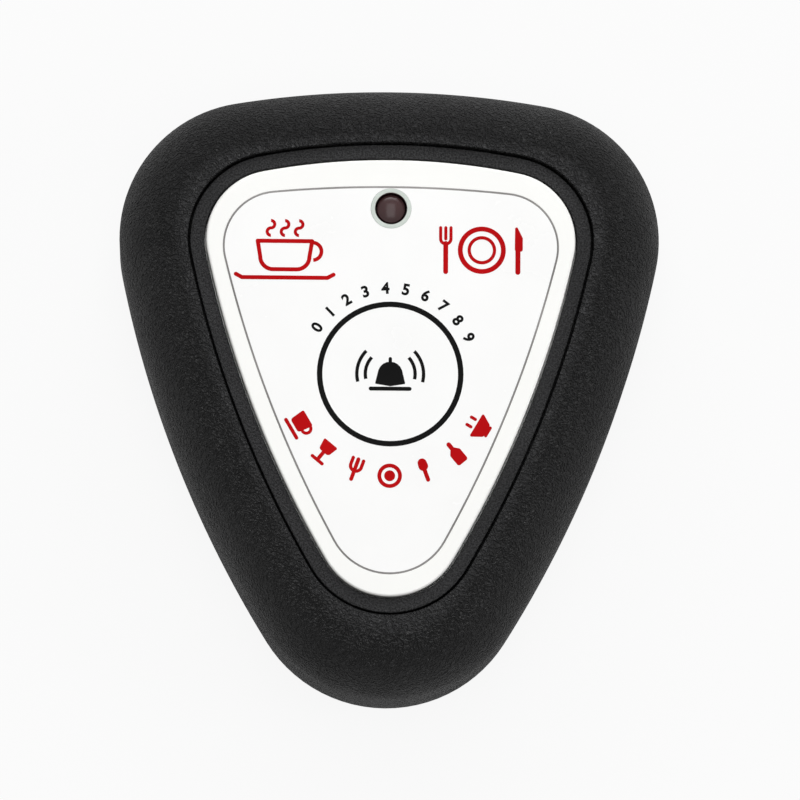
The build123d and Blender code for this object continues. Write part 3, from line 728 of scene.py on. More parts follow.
@dataclass(frozen=True)
class MouldedFinish:
    """Opaque moulded or cast material with a surface texture and a cloudy sheen, and where set, painted shade
    in the texture's valleys and a painted light on its top.
    """

    name: str
    colour: Colour
    roughness: float = 0.5
    sheen_spread: float = 0.06
    tone_spread: float = 0.12
    grain: Grain = Grain.SPARK
    grain_scale: float = 6000.0
    grain_depth: float = 0.01 * MM
    specular: float = 0.5
    coat: float = 0.0
    valley: float = 1.0
    unworn: float = 0.0
    worn_colour: Optional[Colour] = None
    marks_scale: float = 110.0

    def make(self, effects: Effects) -> bpy.types.Material:
        """Makes the material.

        Args:
            effects: The shared node groups.

        Returns:
            The finish as a material.
        """
        draft = MaterialDraft(self.name)
        graph = draft.graph
        mask = draft.effect(effects.marks, Scale=self.marks_scale)
        height = draft.effect(effects.grain[self.grain], Scale=self.grain_scale)
        dark, light = shade(self.colour, 1 - self.tone_spread), shade(self.colour, 1 + self.tone_spread)
        tone = graph.blend(mask, dark, light)
        # Painted light: the flat top near the opening is made lighter, as if it faced the lamps.
        if self.worn_colour:
            top = draft.effect(effects.wear, Low=TOP_LIGHT_BAND[0], High=TOP_LIGHT_BAND[1])
            tone = graph.blend(top, tone, shade(self.worn_colour, 1.0))
        # Painted shade: the texture's valleys are darkened, down to this share of the colour, while the hill
        # tops keep it.
        if self.valley < 1.0:
            hills = graph.spread(height, *HILLS[self.grain], self.valley, 1.0)
            tone = graph.blend(hills, (0.0, 0.0, 0.0, 1.0), tone)
        rough = graph.spread(
            mask, 0.0, 1.0, self.roughness + self.sheen_spread, self.roughness - self.sheen_spread
        )
        if self.unworn:
            side = draft.effect(effects.wear, Low=WORN_SIDE[0], High=WORN_SIDE[1])
            rough = graph.math("ADD", rough, graph.spread(side, 0.0, 1.0, self.unworn, 0.0))
        graph.feed(draft.shader, {
            "Base Color": tone,
            "Roughness": rough,
            "Specular IOR Level": self.specular,
            "Coat Weight": self.coat,
            "Normal": draft.bump(height, self.grain_depth),
        })
        return draft.material


@dataclass(frozen=True)
class MetalFinish:
    """Plated or rolled metal with fine lines and small changes of polish."""

    name: str
    colour: Colour
    roughness: float = 0.3
    dull_share: float = 0.86
    dull_rise: float = 0.1
    bright_drop: float = 0.06
    line_depth: float = 0.004 * MM
    marks_scale: float = 260.0

    def make(self, effects: Effects) -> bpy.types.Material:
        """Makes the material.

        Args:
            effects: The shared node groups.

        Returns:
            The finish as a material.
        """
        draft = MaterialDraft(self.name)
        graph = draft.graph
        mask = draft.effect(effects.marks, Scale=self.marks_scale)
        dull, bright = self.roughness + self.dull_rise, self.roughness - self.bright_drop
        graph.feed(draft.shader, {
            "Base Color": graph.blend(mask, shade(self.colour, self.dull_share), shade(self.colour, 1.0)),
            "Roughness": graph.spread(mask, 0.0, 1.0, dull, bright),
            "Metallic": 1.0,
            "Normal": draft.bump(draft.effect(effects.brushed), self.line_depth),
        })
        return draft.material


@dataclass(frozen=True)
class ClearFinish:
    """Clear or tinted plastic that lets some light through, with painted shade on its bore where it has one.
    """

    name: str
    colour: Colour
    roughness: float = 0.15
    transmission: float = 0.6
    bore_colour: Optional[Colour] = None
    bore_y: float = 0.0
    bore_radius: float = 0.0
    specular: float = 0.5
    deep_share: float = 0.9
    haze: float = 0.04
    marks_scale: float = 900.0
    refraction: float = 1.5

    def make(self, effects: Effects) -> bpy.types.Material:
        """Makes the material.

        Args:
            effects: The shared node groups.

        Returns:
            The finish as a material.
        """
        draft = MaterialDraft(self.name)
        graph = draft.graph
        mask = draft.effect(effects.marks, Scale=self.marks_scale)
        tone = graph.blend(mask, shade(self.colour, self.deep_share), shade(self.colour, 1.0))
        # Painted shade: the bore wall takes a dark colour like the lamp's, as if the hole were in shade.
        if self.bore_colour:
            bore = draft.effect(effects.bore, Y=self.bore_y, Radius=self.bore_radius)
            tone = graph.blend(bore, tone, shade(self.bore_colour, 1.0))
        graph.feed(draft.shader, {
            "Base Color": tone,
            "Roughness": graph.spread(mask, 0.0, 1.0, self.roughness + self.haze, self.roughness),
            "Transmission Weight": self.transmission,
            "Specular IOR Level": self.specular,
            "IOR": self.refraction,
        })
        return draft.material


# ---------------------------------------------------------------- finishes, named by the record's slots
FINISHES = (
    # The surround has painted shade in its grain's valleys and a painted light colour on its flat top.
    MouldedFinish(
        "surround_grain", (0.0178, 0.0178, 0.0184), 0.36, 0.04, 0.15, Grain.LEATHER, 3200.0, 0.7 * MM, 0.15,
        valley=0.5, unworn=0.28, worn_colour=(0.054, 0.054, 0.056),
    ),
    # Painted shade in the bezel texture's valleys.
    MouldedFinish(
        "bezel_black", (0.041, 0.041, 0.0425), 0.42, 0.04, 0.12, Grain.SPARK, 5000.0, 0.2 * MM, 0.12,
        valley=0.3,
    ),
    MouldedFinish(
        "key_white", (0.925, 0.925, 0.9), 0.16, 0.03, 0.01, Grain.SPARK, 1500.0, 0.002 * MM, 0.5, 0.1
    ),
    MouldedFinish(
        "film_print", (0.935, 0.935, 0.928), 0.24, 0.04, 0.008, Grain.SPARK, 2500.0, 0.002 * MM
    ),
    # The collar's bore gets a painted shade in a dark red-brown.
    ClearFinish("collar_clear", (0.6, 0.66, 0.61), 0.3, 0.0, (0.07, 0.03, 0.032), LAMP_Y, COLLAR_BORE),
    ClearFinish("lamp_smoke", (0.05, 0.02, 0.021), 0.2, 0.0, specular=0.3),
    MetalFinish("tinned_wire", (0.75, 0.75, 0.76), 0.24),
    MouldedFinish("spacer_black", (0.03, 0.03, 0.03)),
    MouldedFinish("board_green", (0.02, 0.16, 0.06), 0.34, 0.05, 0.1, coat=0.4),
    MouldedFinish("silicone_grey", (0.36, 0.37, 0.38), 0.62, 0.05, 0.06),
    MetalFinish("screw_steel", (0.60, 0.61, 0.64), 0.3),
    MouldedFinish("switch_black", (0.025, 0.025, 0.025)),
    MetalFinish("switch_steel", (0.68, 0.69, 0.70), 0.32),
    MouldedFinish("plunger_black", (0.03, 0.03, 0.03)),
    MetalFinish("dome_steel", (0.70, 0.71, 0.72), 0.22),
    MetalFinish("terminal_tin", (0.74, 0.74, 0.75), 0.28),
    MouldedFinish("holder_black", (0.035, 0.035, 0.035)),
    MetalFinish("cell_steel", (0.72, 0.73, 0.74), 0.26),
    MetalFinish("contact_nickel", (0.70, 0.69, 0.66), 0.26),
    MouldedFinish("chip_black", (0.02, 0.02, 0.02), 0.6),
    MetalFinish("leg_tin", (0.74, 0.74, 0.75), 0.28),
    MetalFinish("can_metal", (0.76, 0.73, 0.64), 0.28),
    MouldedFinish("resistor_black", (0.04, 0.04, 0.045), 0.45),
    MouldedFinish("capacitor_tan", (0.34, 0.20, 0.10), 0.45),
    # Painted shade in the base texture's valleys.
    MouldedFinish(
        "base_black", (0.034, 0.034, 0.035), 0.56, 0.05, 0.12, Grain.SPARK, 2600.0, 0.12 * MM, 0.35,
        valley=0.4,
    ),
    MouldedFinish("gasket_grey", (0.07, 0.07, 0.072), 0.6),
)

INKS = (
    # Grey painted shade that fills the gap round the film.
    MouldedFinish("gap_shade_grey", (0.26, 0.25, 0.245), 0.6, 0.05, 0.25, specular=0.2),
    MouldedFinish(
        "ink_black", (0.004, 0.004, 0.004), 0.45, 0.05, 0.1, Grain.SPARK, 9000.0, 0.002 * MM, 0.04
    ),
    MouldedFinish(
        "ink_red", (0.49, 0.002, 0.004), 0.45, 0.05, 0.06, Grain.SPARK, 9000.0, 0.002 * MM, 0.04
    ),
)


# ---------------------------------------------------------------- sub-assemblies
@dataclass
class Surround:
    """Domed shell with its opening, ledge, cavity and screw bosses."""

    height: float = 16.5 * MM
    crown_radius: float = 7.475 * MM
    crown_reach: float = 6.2 * MM
    crown_steps: int = 26
    crown_cuts: int = 3
    lip_radius: float = 0.1 * MM
    foot: float = 0.8 * MM
    foot_bulge: tuple[float, float] = (0.3, 0.32)
    ledge: float = 13.7 * MM
    wall: float = 2.8 * MM
    wall_top: float = 11.0 * MM
    cavity_bevel: float = 2.7 * MM
    rebate: float = 1.8 * MM
    rebate_top: float = 3.0 * MM
    boss_inset: float = 4.6 * MM
    boss_angle: float = math.radians(40)
    boss_radius: float = 2.0 * MM
    boss_foot: float = 2.0 * MM
    boss_head: float = 13.9 * MM
    hole_radius: float = 1.0 * MM
    hole_top: float = 8.7 * MM

    def _drop(self, inset: float) -> float:
        """How far the crown lies below its flat top at an inset of the body."""
        across = max(0.0, self.crown_radius - inset)
        return self.crown_radius - math.sqrt(self.crown_radius**2 - across**2)

    def _outer_section(self) -> Section:
        """Section of the shell's wall.

        Returns:
            Points from the cavity down round the foot and up over the crown.
        """
        shoulder = self.height - self.crown_radius
        end = math.degrees(math.acos((self.crown_radius - self.crown_reach) / self.crown_radius))
        across, up = self.foot_bulge
        return [
            (self.wall + self.cavity_bevel, self.ledge),
            (self.wall, self.wall_top),
            (self.wall, self.rebate_top),
            (self.rebate, self.rebate_top),
            (self.rebate, 0.0),
            (self.foot, 0.0),
            (self.foot * across, self.foot * up),
            (0.0, self.foot),
            *quarter((self.crown_radius, shoulder), self.crown_radius, 180.0, 180.0 - end, self.crown_steps),
        ]

    def _lip_section(self) -> Section:
        """Section of the opening's rounded lip and wall, down to the ledge."""
        centre = (-self.lip_radius, self.height - self.lip_radius)
        return [*quarter(centre, self.lip_radius, 90.0, 0.0, LIP_STEPS), (0.0, self.ledge)]

    def mesh(self) -> bpy.types.Mesh:
        """Builds the shell.

        Returns:
            The closed shell with its bosses.
        """
        above_ledge = self.ledge + MM
        bm = bmesh.new()
        carry_round(bm, OPENING, self._lip_section())
        for vert in bm.verts:
            if vert.co.z > above_ledge:
                vert.co.z -= self._drop(BODY.inset_at(vert.co))
        carry_round(bm, BODY, self._outer_section())
        crown = bridge_above(bm, above_ledge)
        rungs = [edge for edge in crown["edges"] if edge.is_valid]
        cut = bmesh.ops.subdivide_edges(bm, edges=rungs, cuts=self.crown_cuts, use_grid_fill=True)
        for vert in {item for item in cut["geom_inner"] if isinstance(item, bmesh.types.BMVert)}:
            vert.co.z = self.height - self._drop(BODY.inset_at(vert.co))
        fill_level(bm, self.ledge)
        shell = finish_shell(bm, "surround_shell")
        places = BODY.corner_points(self.boss_angle, self.boss_inset)
        bosses = rods(places, self.boss_radius, self.boss_foot, self.boss_head, "bosses")
        holes = rods(places, self.hole_radius, self.boss_foot - MM, self.hole_top, "holes")
        return carve(shell, [(Carve.JOIN, bosses), (Carve.CUT, holes)])

    def build(self, materials: Materials) -> None:
        """Builds and dresses the shell."""
        material = materials["surround_grain"]
        show(self.mesh(), "surround_shell", "body", material, ["surround"])


@dataclass
class Bezel:
    """Bezel ring, its guide wall for the key and its posts for the board screws."""

    groove: float = 0.28 * MM
    width: float = 1.5 * MM
    top: float = 16.0 * MM
    stop: float = 13.6 * MM
    ledge: float = 13.7 * MM
    foot: float = 9.185 * MM
    outset: float = 1.2 * MM
    inner: float = 0.5 * MM
    edge: float = 0.1 * MM
    post_inset: float = 2.3 * MM
    post_angle: float = math.radians(40)
    post_radius: float = 2.2 * MM
    post_top: float = 11.8 * MM
    pilot_radius: float = 1.0 * MM
    boss_inset: float = 4.6 * MM
    boss_room: float = 2.25 * MM

    def mesh(self) -> bpy.types.Mesh:
        """Builds the ring.

        Returns:
            The closed ring with its posts, pilot holes and room for the surround's bosses.
        """
        edge = self.edge
        far = self.groove + self.width
        section = [
            (self.groove, self.ledge),
            *quarter((self.groove + edge, self.top - edge), edge, 180.0, 90.0, EDGE_STEPS),
            *quarter((far - edge, self.top - edge), edge, 90.0, 0.0, EDGE_STEPS),
            (far, self.stop),
            (self.inner, self.stop),
            (self.inner, self.foot),
            (-self.outset, self.foot),
            (-self.outset, self.ledge),
        ]
        bm = bmesh.new()
        carry_round(bm, OPENING, section, closed=True)
        ring = finish_shell(bm, "bezel_ring")
        at_posts = OPENING.corner_points(self.post_angle, self.post_inset)
        at_bosses = BODY.corner_points(self.post_angle, self.boss_inset)
        below, above = self.foot - MM, self.ledge + MM
        posts = rods(at_posts, self.post_radius, self.foot, self.post_top, "posts")
        pilots = rods(at_posts, self.pilot_radius, below, self.post_top + MM, "pilots")
        room = rods(at_bosses, self.boss_room, below, above, "boss_room")
        return carve(ring, [(Carve.JOIN, posts), (Carve.CUT, pilots), (Carve.CUT, room)])

    def build(self, materials: Materials) -> None:
        """Builds and dresses the bezel."""
        material = materials["bezel_black"]
        show(self.mesh(), "bezel_ring", "body", material, ["bezel_frame"])


@dataclass
class Lamp:
    """Lamp with its flange and dome, and the clear collar round it in the key."""

    y: float = LAMP_Y
    radius: float = 1.5 * MM
    bottom: float = 11.2 * MM
    top: float = 16.5 * MM
    dome_radius: float = 2.9 * MM
    dome_steps: int = 16
    edge: float = 0.1 * MM
    flange_radius: float = 1.9 * MM
    flange: float = 1.0 * MM
    collar_radius: float = 2.17 * MM
    collar_bore: float = COLLAR_BORE
    collar_top: float = 16.49 * MM
    collar_bottom: float = 14.25 * MM
    collar_flange_radius: float = 2.8 * MM
    collar_flange_top: float = 14.85 * MM
    lip: float = 0.05 * MM

    @property
    def centre(self) -> Vector:
        """Point on the lamp's axis."""
        return Vector((0, self.y, 0))

    def lens_mesh(self) -> bpy.types.Mesh:
        """Builds the lamp's body.

        Returns:
            The closed body with a low dome and a rounded shoulder.
        """
        flange_top = self.bottom + self.flange
        shoulder = self.radius - self.edge
        start = math.degrees(math.acos(shoulder / self.dome_radius))
        dome = quarter((0.0, self.top - self.dome_radius), self.dome_radius, start, 90.0, self.dome_steps)
        edge = quarter((shoulder, dome[0][1] - self.edge), self.edge, 0.0, 90.0, EDGE_STEPS)
        section = [
            (0.0, self.bottom),
            (self.flange_radius, self.bottom),
            (self.flange_radius, flange_top),
            (self.radius, flange_top),
            *edge[:-1],
            *dome[:-1],
            (0.0, self.top),
        ]
        bm = bmesh.new()
        turn_round(bm, self.centre, section)
        return finish_shell(bm, "lamp_lens")

    def collar_mesh(self) -> bpy.types.Mesh:
        """Builds the collar.

        Returns:
            The closed collar with a rounded rim and a flange under the key.
        """
        lip = self.lip
        rim = self.collar_top - lip
        section = [
            (self.collar_bore, self.collar_bottom),
            (self.collar_flange_radius, self.collar_bottom),
            (self.collar_flange_radius, self.collar_flange_top),
            (self.collar_radius, self.collar_flange_top),
            *quarter((self.collar_radius - lip, rim), lip, 0.0, 90.0, LIP_STEPS),
            *quarter((self.collar_bore + lip, rim), lip, 90.0, 180.0, LIP_STEPS),
        ]
        bm = bmesh.new()
        turn_round(bm, self.centre, section, closed=True)
        return finish_shell(bm, "lamp_collar")

    def build(self, materials: Materials) -> None:
        """Builds and dresses the lamp and its collar.

        Args:
            materials: Materials by slot.
        """
        smoke, clear = materials["lamp_smoke"], materials["collar_clear"]
        show(self.lens_mesh(), "lamp_lens", "body", smoke, ["led_lens"])
        show(self.collar_mesh(), "lamp_collar", "key", clear, ["led_collar"])


@dataclass
class Key:
    """White press key, its recess for the film, and the film."""

    lamp: Lamp
    edge_inset: float = 1.98 * MM
    top: float = 16.45 * MM
    edge_radius: float = 0.25 * MM
    edge_steps: int = 10
    underside: float = 14.85 * MM
    skirt: float = 1.2 * MM
    flange_width: float = 1.28 * MM
    stop: float = 13.6 * MM
    foot: float = 12.6 * MM
    film_gap: float = 0.1 * MM
    recess_edge: float = 0.04 * MM
    film_bottom: float = 16.25 * MM
    film_top: float = 16.48 * MM
    film_edge: float = 0.02 * MM
    film_shrink: float = 0.1 * MM
    hole_radius: float = 2.178 * MM
    post_radius: float = 2.4 * MM
    post_y: float = 1.4 * MM
    post_foot: float = 13.485 * MM

    def cap_mesh(self) -> bpy.types.Mesh:
        """Builds the key.

        Returns:
            The closed key with its recess, skirt, flange, lamp hole and post.
        """
        radius = self.edge_radius
        flange = self.edge_inset - self.flange_width
        skirt = self.edge_inset + self.skirt
        outside = [
            *quarter((self.edge_inset + radius, self.top - radius), radius, 90.0, 180.0, self.edge_steps),
            (self.edge_inset, self.stop),
            (flange, self.stop),
            (flange, self.foot),
            (skirt, self.foot),
            (skirt, self.underside),
        ]
        gap, lip = self.film_gap, self.recess_edge
        recess = [(-gap - lip, self.top), (-gap, self.top - lip), (-gap, self.film_bottom)]
        hole = [(self.hole_radius, self.film_bottom), (self.hole_radius, self.underside)]
        post = [(self.post_radius, self.underside), (self.post_radius, self.post_foot), (0.0, self.post_foot)]
        bm = bmesh.new()
        carry_round(bm, OPENING, outside)
        carry_round(bm, FILM, recess)
        fill_level(bm, self.top)
        turn_round(bm, self.lamp.centre, hole)
        turn_round(bm, Vector((0, self.post_y, 0)), post)
        fill_level(bm, self.film_bottom)
        fill_level(bm, self.underside)
        return finish_shell(bm, "key_cap")

    def cut_edge_mesh(self) -> bpy.types.Mesh:
        """Builds a grey strip of painted shade for the gap round the film.

        Returns:
            A closed grey strip that fills the gap round the film with painted shade.
        """
        near, far = self.film_shrink, -self.film_gap
        section = [
            (near, self.film_bottom),
            (near, self.top),
            (far, self.top - self.recess_edge),
            (far, self.film_bottom),
        ]
        bm = bmesh.new()
        carry_round(bm, FILM, section, closed=True)
        return finish_shell(bm, "film_gap_shade")

    def film_mesh(self) -> bpy.types.Mesh:
        """Builds the film.

        Returns:
            The closed film with its hole for the collar.
        """
        edge, shrink = self.film_edge, self.film_shrink
        side = [(shrink, self.film_bottom), (shrink, self.film_top - edge), (shrink + edge, self.film_top)]
        hole = [(self.hole_radius, self.film_bottom), (self.hole_radius, self.film_top)]
        bm = bmesh.new()
        carry_round(bm, FILM, side)
        turn_round(bm, self.lamp.centre, hole)
        fill_level(bm, self.film_bottom)
        fill_level(bm, self.film_top)
        return finish_shell(bm, "film_sheet")

    def build(self, materials: Materials) -> None:
        """Builds and dresses the key, the film and the grey strip of painted shade round the film.

        Args:
            materials: Materials by slot.
        """
        show(self.cap_mesh(), "key_cap", "key", materials["key_white"], ["key_plate"])
        show(self.film_mesh(), "film_sheet", "key", materials["film_print"], ["face_film"])
        # A grey strip of painted shade fills the gap round the film.
        show(self.cut_edge_mesh(), "film_gap_shade", "key", materials["gap_shade_grey"])


@dataclass(frozen=True)
class Flexure:
    """Rubber or spring part that gives way under the key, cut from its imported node's own shape."""

    name: str
    node: str
    slot: str
    joint: str
    travel: float = 0.3 * MM

    def build(self, nodes: dict[str, bpy.types.Object], materials: Materials) -> None:
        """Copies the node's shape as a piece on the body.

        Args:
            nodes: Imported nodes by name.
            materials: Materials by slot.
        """
        bm = bmesh.new()
        bm.from_mesh(nodes[self.node].data)
        mesh = finish_shell(bm, self.name)
        piece = show(mesh, self.name, "body", materials[self.slot], [self.node])
        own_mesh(piece)


FLEXURES = (
    Flexure("rubber_key_cap", "key_membrane", "silicone_grey", "key_press"),
    Flexure("snap_dome", "switch_dome", "dome_steel", "plunger_travel"),
)


# ---------------------------------------------------------------- printed signs
@dataclass(frozen=True)
class InkLayer:
    """Levels between which every printed shape lies."""

    bottom: float = 16.478 * MM
    top: float = 16.494 * MM


@dataclass(frozen=True)
class Blob:
    """Filled shape: the hull of round spots, each with x, y and radius in a sign's own units."""

    spots: tuple[tuple[float, float, float], ...]

    def mirrored(self) -> "Blob":
        """The shape's mirror image about the sign's upright axis."""
        return Blob(tuple((-x, y, radius) for x, y, radius in self.spots))

    def draw(self, place: Matrix, layer: InkLayer) -> bmesh.types.BMesh:
        """The shape as a closed prism.

        Args:
            place: Turn, size and place of the sign in plan.
            layer: Levels of the ink.

        Returns:
            A new bmesh.
        """
        bm = bmesh.new()
        for level in (layer.bottom, layer.top):
            for x, y, radius in self.spots:
                at = Matrix.Translation((0, 0, level)) @ place @ Matrix.Translation((x, y, 0))
                bmesh.ops.create_circle(bm, segments=SPOT_STEPS, radius=radius, matrix=at)
        hull = bmesh.ops.convex_hull(bm, input=bm.verts, use_existing_faces=False)
        spare = [item for item in hull["geom_interior"] if isinstance(item, bmesh.types.BMVert)]
        bmesh.ops.delete(bm, geom=spare, context="VERTS")
        put_in_order(bm)
        bmesh.ops.dissolve_limit(bm, angle_limit=FLAT_ANGLE, verts=bm.verts, edges=bm.edges)
        return bm


@dataclass(frozen=True)
class Bow:
    """Bent bar of even weight about a centre, in a sign's own units and degrees."""

    x: float
    y: float
    radius: float
    half: float
    start: float = 0.0
    end: float = 360.0

    def mirrored(self) -> "Bow":
        """The shape's mirror image about the sign's upright axis."""
        return Bow(-self.x, self.y, self.radius, self.half, 180 - self.end, 180 - self.start)

    def draw(self, place: Matrix, layer: InkLayer) -> bmesh.types.BMesh:
        """The shape as a closed prism.

        Args:
            place: Turn, size and place of the sign in plan.
            layer: Levels of the ink.

        Returns:
            A new bmesh.
        """
        sweep = math.radians(self.end - self.start)
        steps = max(FEWEST_BOW_STEPS, round(sweep / BOW_STEP))
        whole = self.end - self.start >= 360.0
        low, high = self.radius - self.half, self.radius + self.half
        turn = Matrix.Translation((self.x, self.y, 0)) @ Matrix.Rotation(math.radians(self.start), 4, "Z")
        corners = [(low, layer.bottom), (high, layer.bottom), (high, layer.top), (low, layer.top)]
        bm = bmesh.new()
        section = lay_section(bm, [turn @ Vector((across, 0, z)) for across, z in corners], True)
        bmesh.ops.spin(
            bm, geom=section, cent=(self.x, self.y, 0), axis=(0, 0, 1), dvec=(0, 0, 0),
            angle=sweep, steps=steps, use_merge=whole, use_duplicate=False,
        )
        put_in_order(bm)
        if not whole:
            bmesh.ops.holes_fill(bm, edges=bm.edges)
        bmesh.ops.transform(bm, matrix=place, verts=bm.verts)
        return bm


Shape = Union[Blob, Bow]
Sign = Sequence[Shape]


def bar(x0: float, y0: float, x1: float, y1: float, half: float) -> Blob:
    """Straight bar with round ends, of one half width."""
    return Blob(((x0, y0, half), (x1, y1, half)))


def both_sides(*shapes: Shape) -> Sign:
    """The shapes and their mirror images."""
    return (*shapes, *(shape.mirrored() for shape in shapes))


def steam(x: float) -> Sign:
    """One curl of steam."""
    return (Bow(x, 2.0, 0.4, 0.17, 90, 270), Bow(x, 2.8, 0.4, 0.17, -90, 90))


CUP: Sign = (
    Blob(((-0.86, 0.68, 0.16), (0.42, 0.68, 0.16), (0.22, -0.3, 0.26), (-0.66, -0.3, 0.26))),
    Bow(0.52, 0.22, 0.4, 0.14, -100, 100),
    bar(-1.05, -0.92, 0.8, -0.92, 0.16),
)
GOBLET: Sign = (
    Blob(((-0.6, 0.86, 0.12), (0.6, 0.86, 0.12), (0.3, 0.22, 0.28), (-0.3, 0.22, 0.28))),
    bar(0, 0.2, 0, -0.85, 0.17),
    bar(-0.55, -0.92, 0.55, -0.92, 0.15),
)
FORK: Sign = (
    *both_sides(bar(0.48, 0.95, 0.48, 0.35, 0.15)),
    bar(0, 0.95, 0, -0.9, 0.17),
    Bow(0, 0.35, 0.48, 0.15, 180, 360),
)
PLATE: Sign = (Bow(0, 0, 0.9, 0.17), Blob(((0, 0, 0.48),)))
SPOON: Sign = (
    Blob(((0, 0.66, 0.4), (0, 0.36, 0.42))),
    bar(0, 0.1, 0, -0.9, 0.18),
)
BOTTLE: Sign = (
    Blob(((-0.34, -0.88, 0.2), (0.34, -0.88, 0.2), (0.34, 0.0, 0.2), (-0.34, 0.0, 0.2), (0, 0.45, 0.16))),
    bar(0, 0.2, 0, 0.94, 0.2),
)
BOWL: Sign = (
    Blob(((-1.0, 0.14, 0.12), (1.0, 0.14, 0.12), (0.42, -0.55, 0.28), (-0.42, -0.55, 0.28))),
    bar(-0.4, -0.94, 0.4, -0.94, 0.14),
    *both_sides(bar(0.38, 0.56, 0.38, 0.96, 0.14)),
)
TABLEWARE = (CUP, GOBLET, FORK, PLATE, SPOON, BOTTLE, BOWL)

BELL: Sign = (
    Blob(((0, 0.0, 1.25), (-1.4, -0.92, 0.1), (1.4, -0.92, 0.1))),
    bar(-1.95, -1.5, 1.95, -1.5, 0.2),
    bar(0, 1.2, 0, 1.55, 0.17),
    *both_sides(Bow(0, 0, 2.5, 0.17, -12, 42), Bow(0, 0, 3.35, 0.17, -14, 44)),
)

CUP_AND_SAUCER: Sign = (
    bar(-2.9, 1.0, 2.9, 1.0, 0.22),
    *both_sides(
        bar(2.9, 1.0, 2.62, -0.7, 0.22),
        Bow(1.26, -0.7, 1.36, 0.22, -90, 0),
        bar(4.55, -2.95, 5.2, -2.6, 0.22),
    ),
    bar(-1.26, -2.06, 1.26, -2.06, 0.22),
    Bow(2.95, -0.1, 0.95, 0.2, -85, 85),
    bar(-4.55, -2.95, 4.55, -2.95, 0.22),
    *steam(-1.5),
    *steam(0.0),
    *steam(1.5),
)

PLACE_SETTING: Sign = (
    Bow(0, 0, 2.3, 0.26),
    Bow(0, 0, 1.35, 0.18),
    *(bar(x, 2.4, x, 1.2, 0.17) for x in (-4.4, -3.85, -3.3)),
    Bow(-3.85, 1.2, 0.55, 0.17, 180, 360),
    bar(-3.85, 0.7, -3.85, -2.35, 0.26),
    Blob(((3.7, 2.35, 0.16), (4.15, 1.3, 0.22), (4.15, 0.1, 0.22), (3.7, 0.1, 0.18))),
    bar(3.85, 0.0, 3.85, -2.35, 0.27),
)


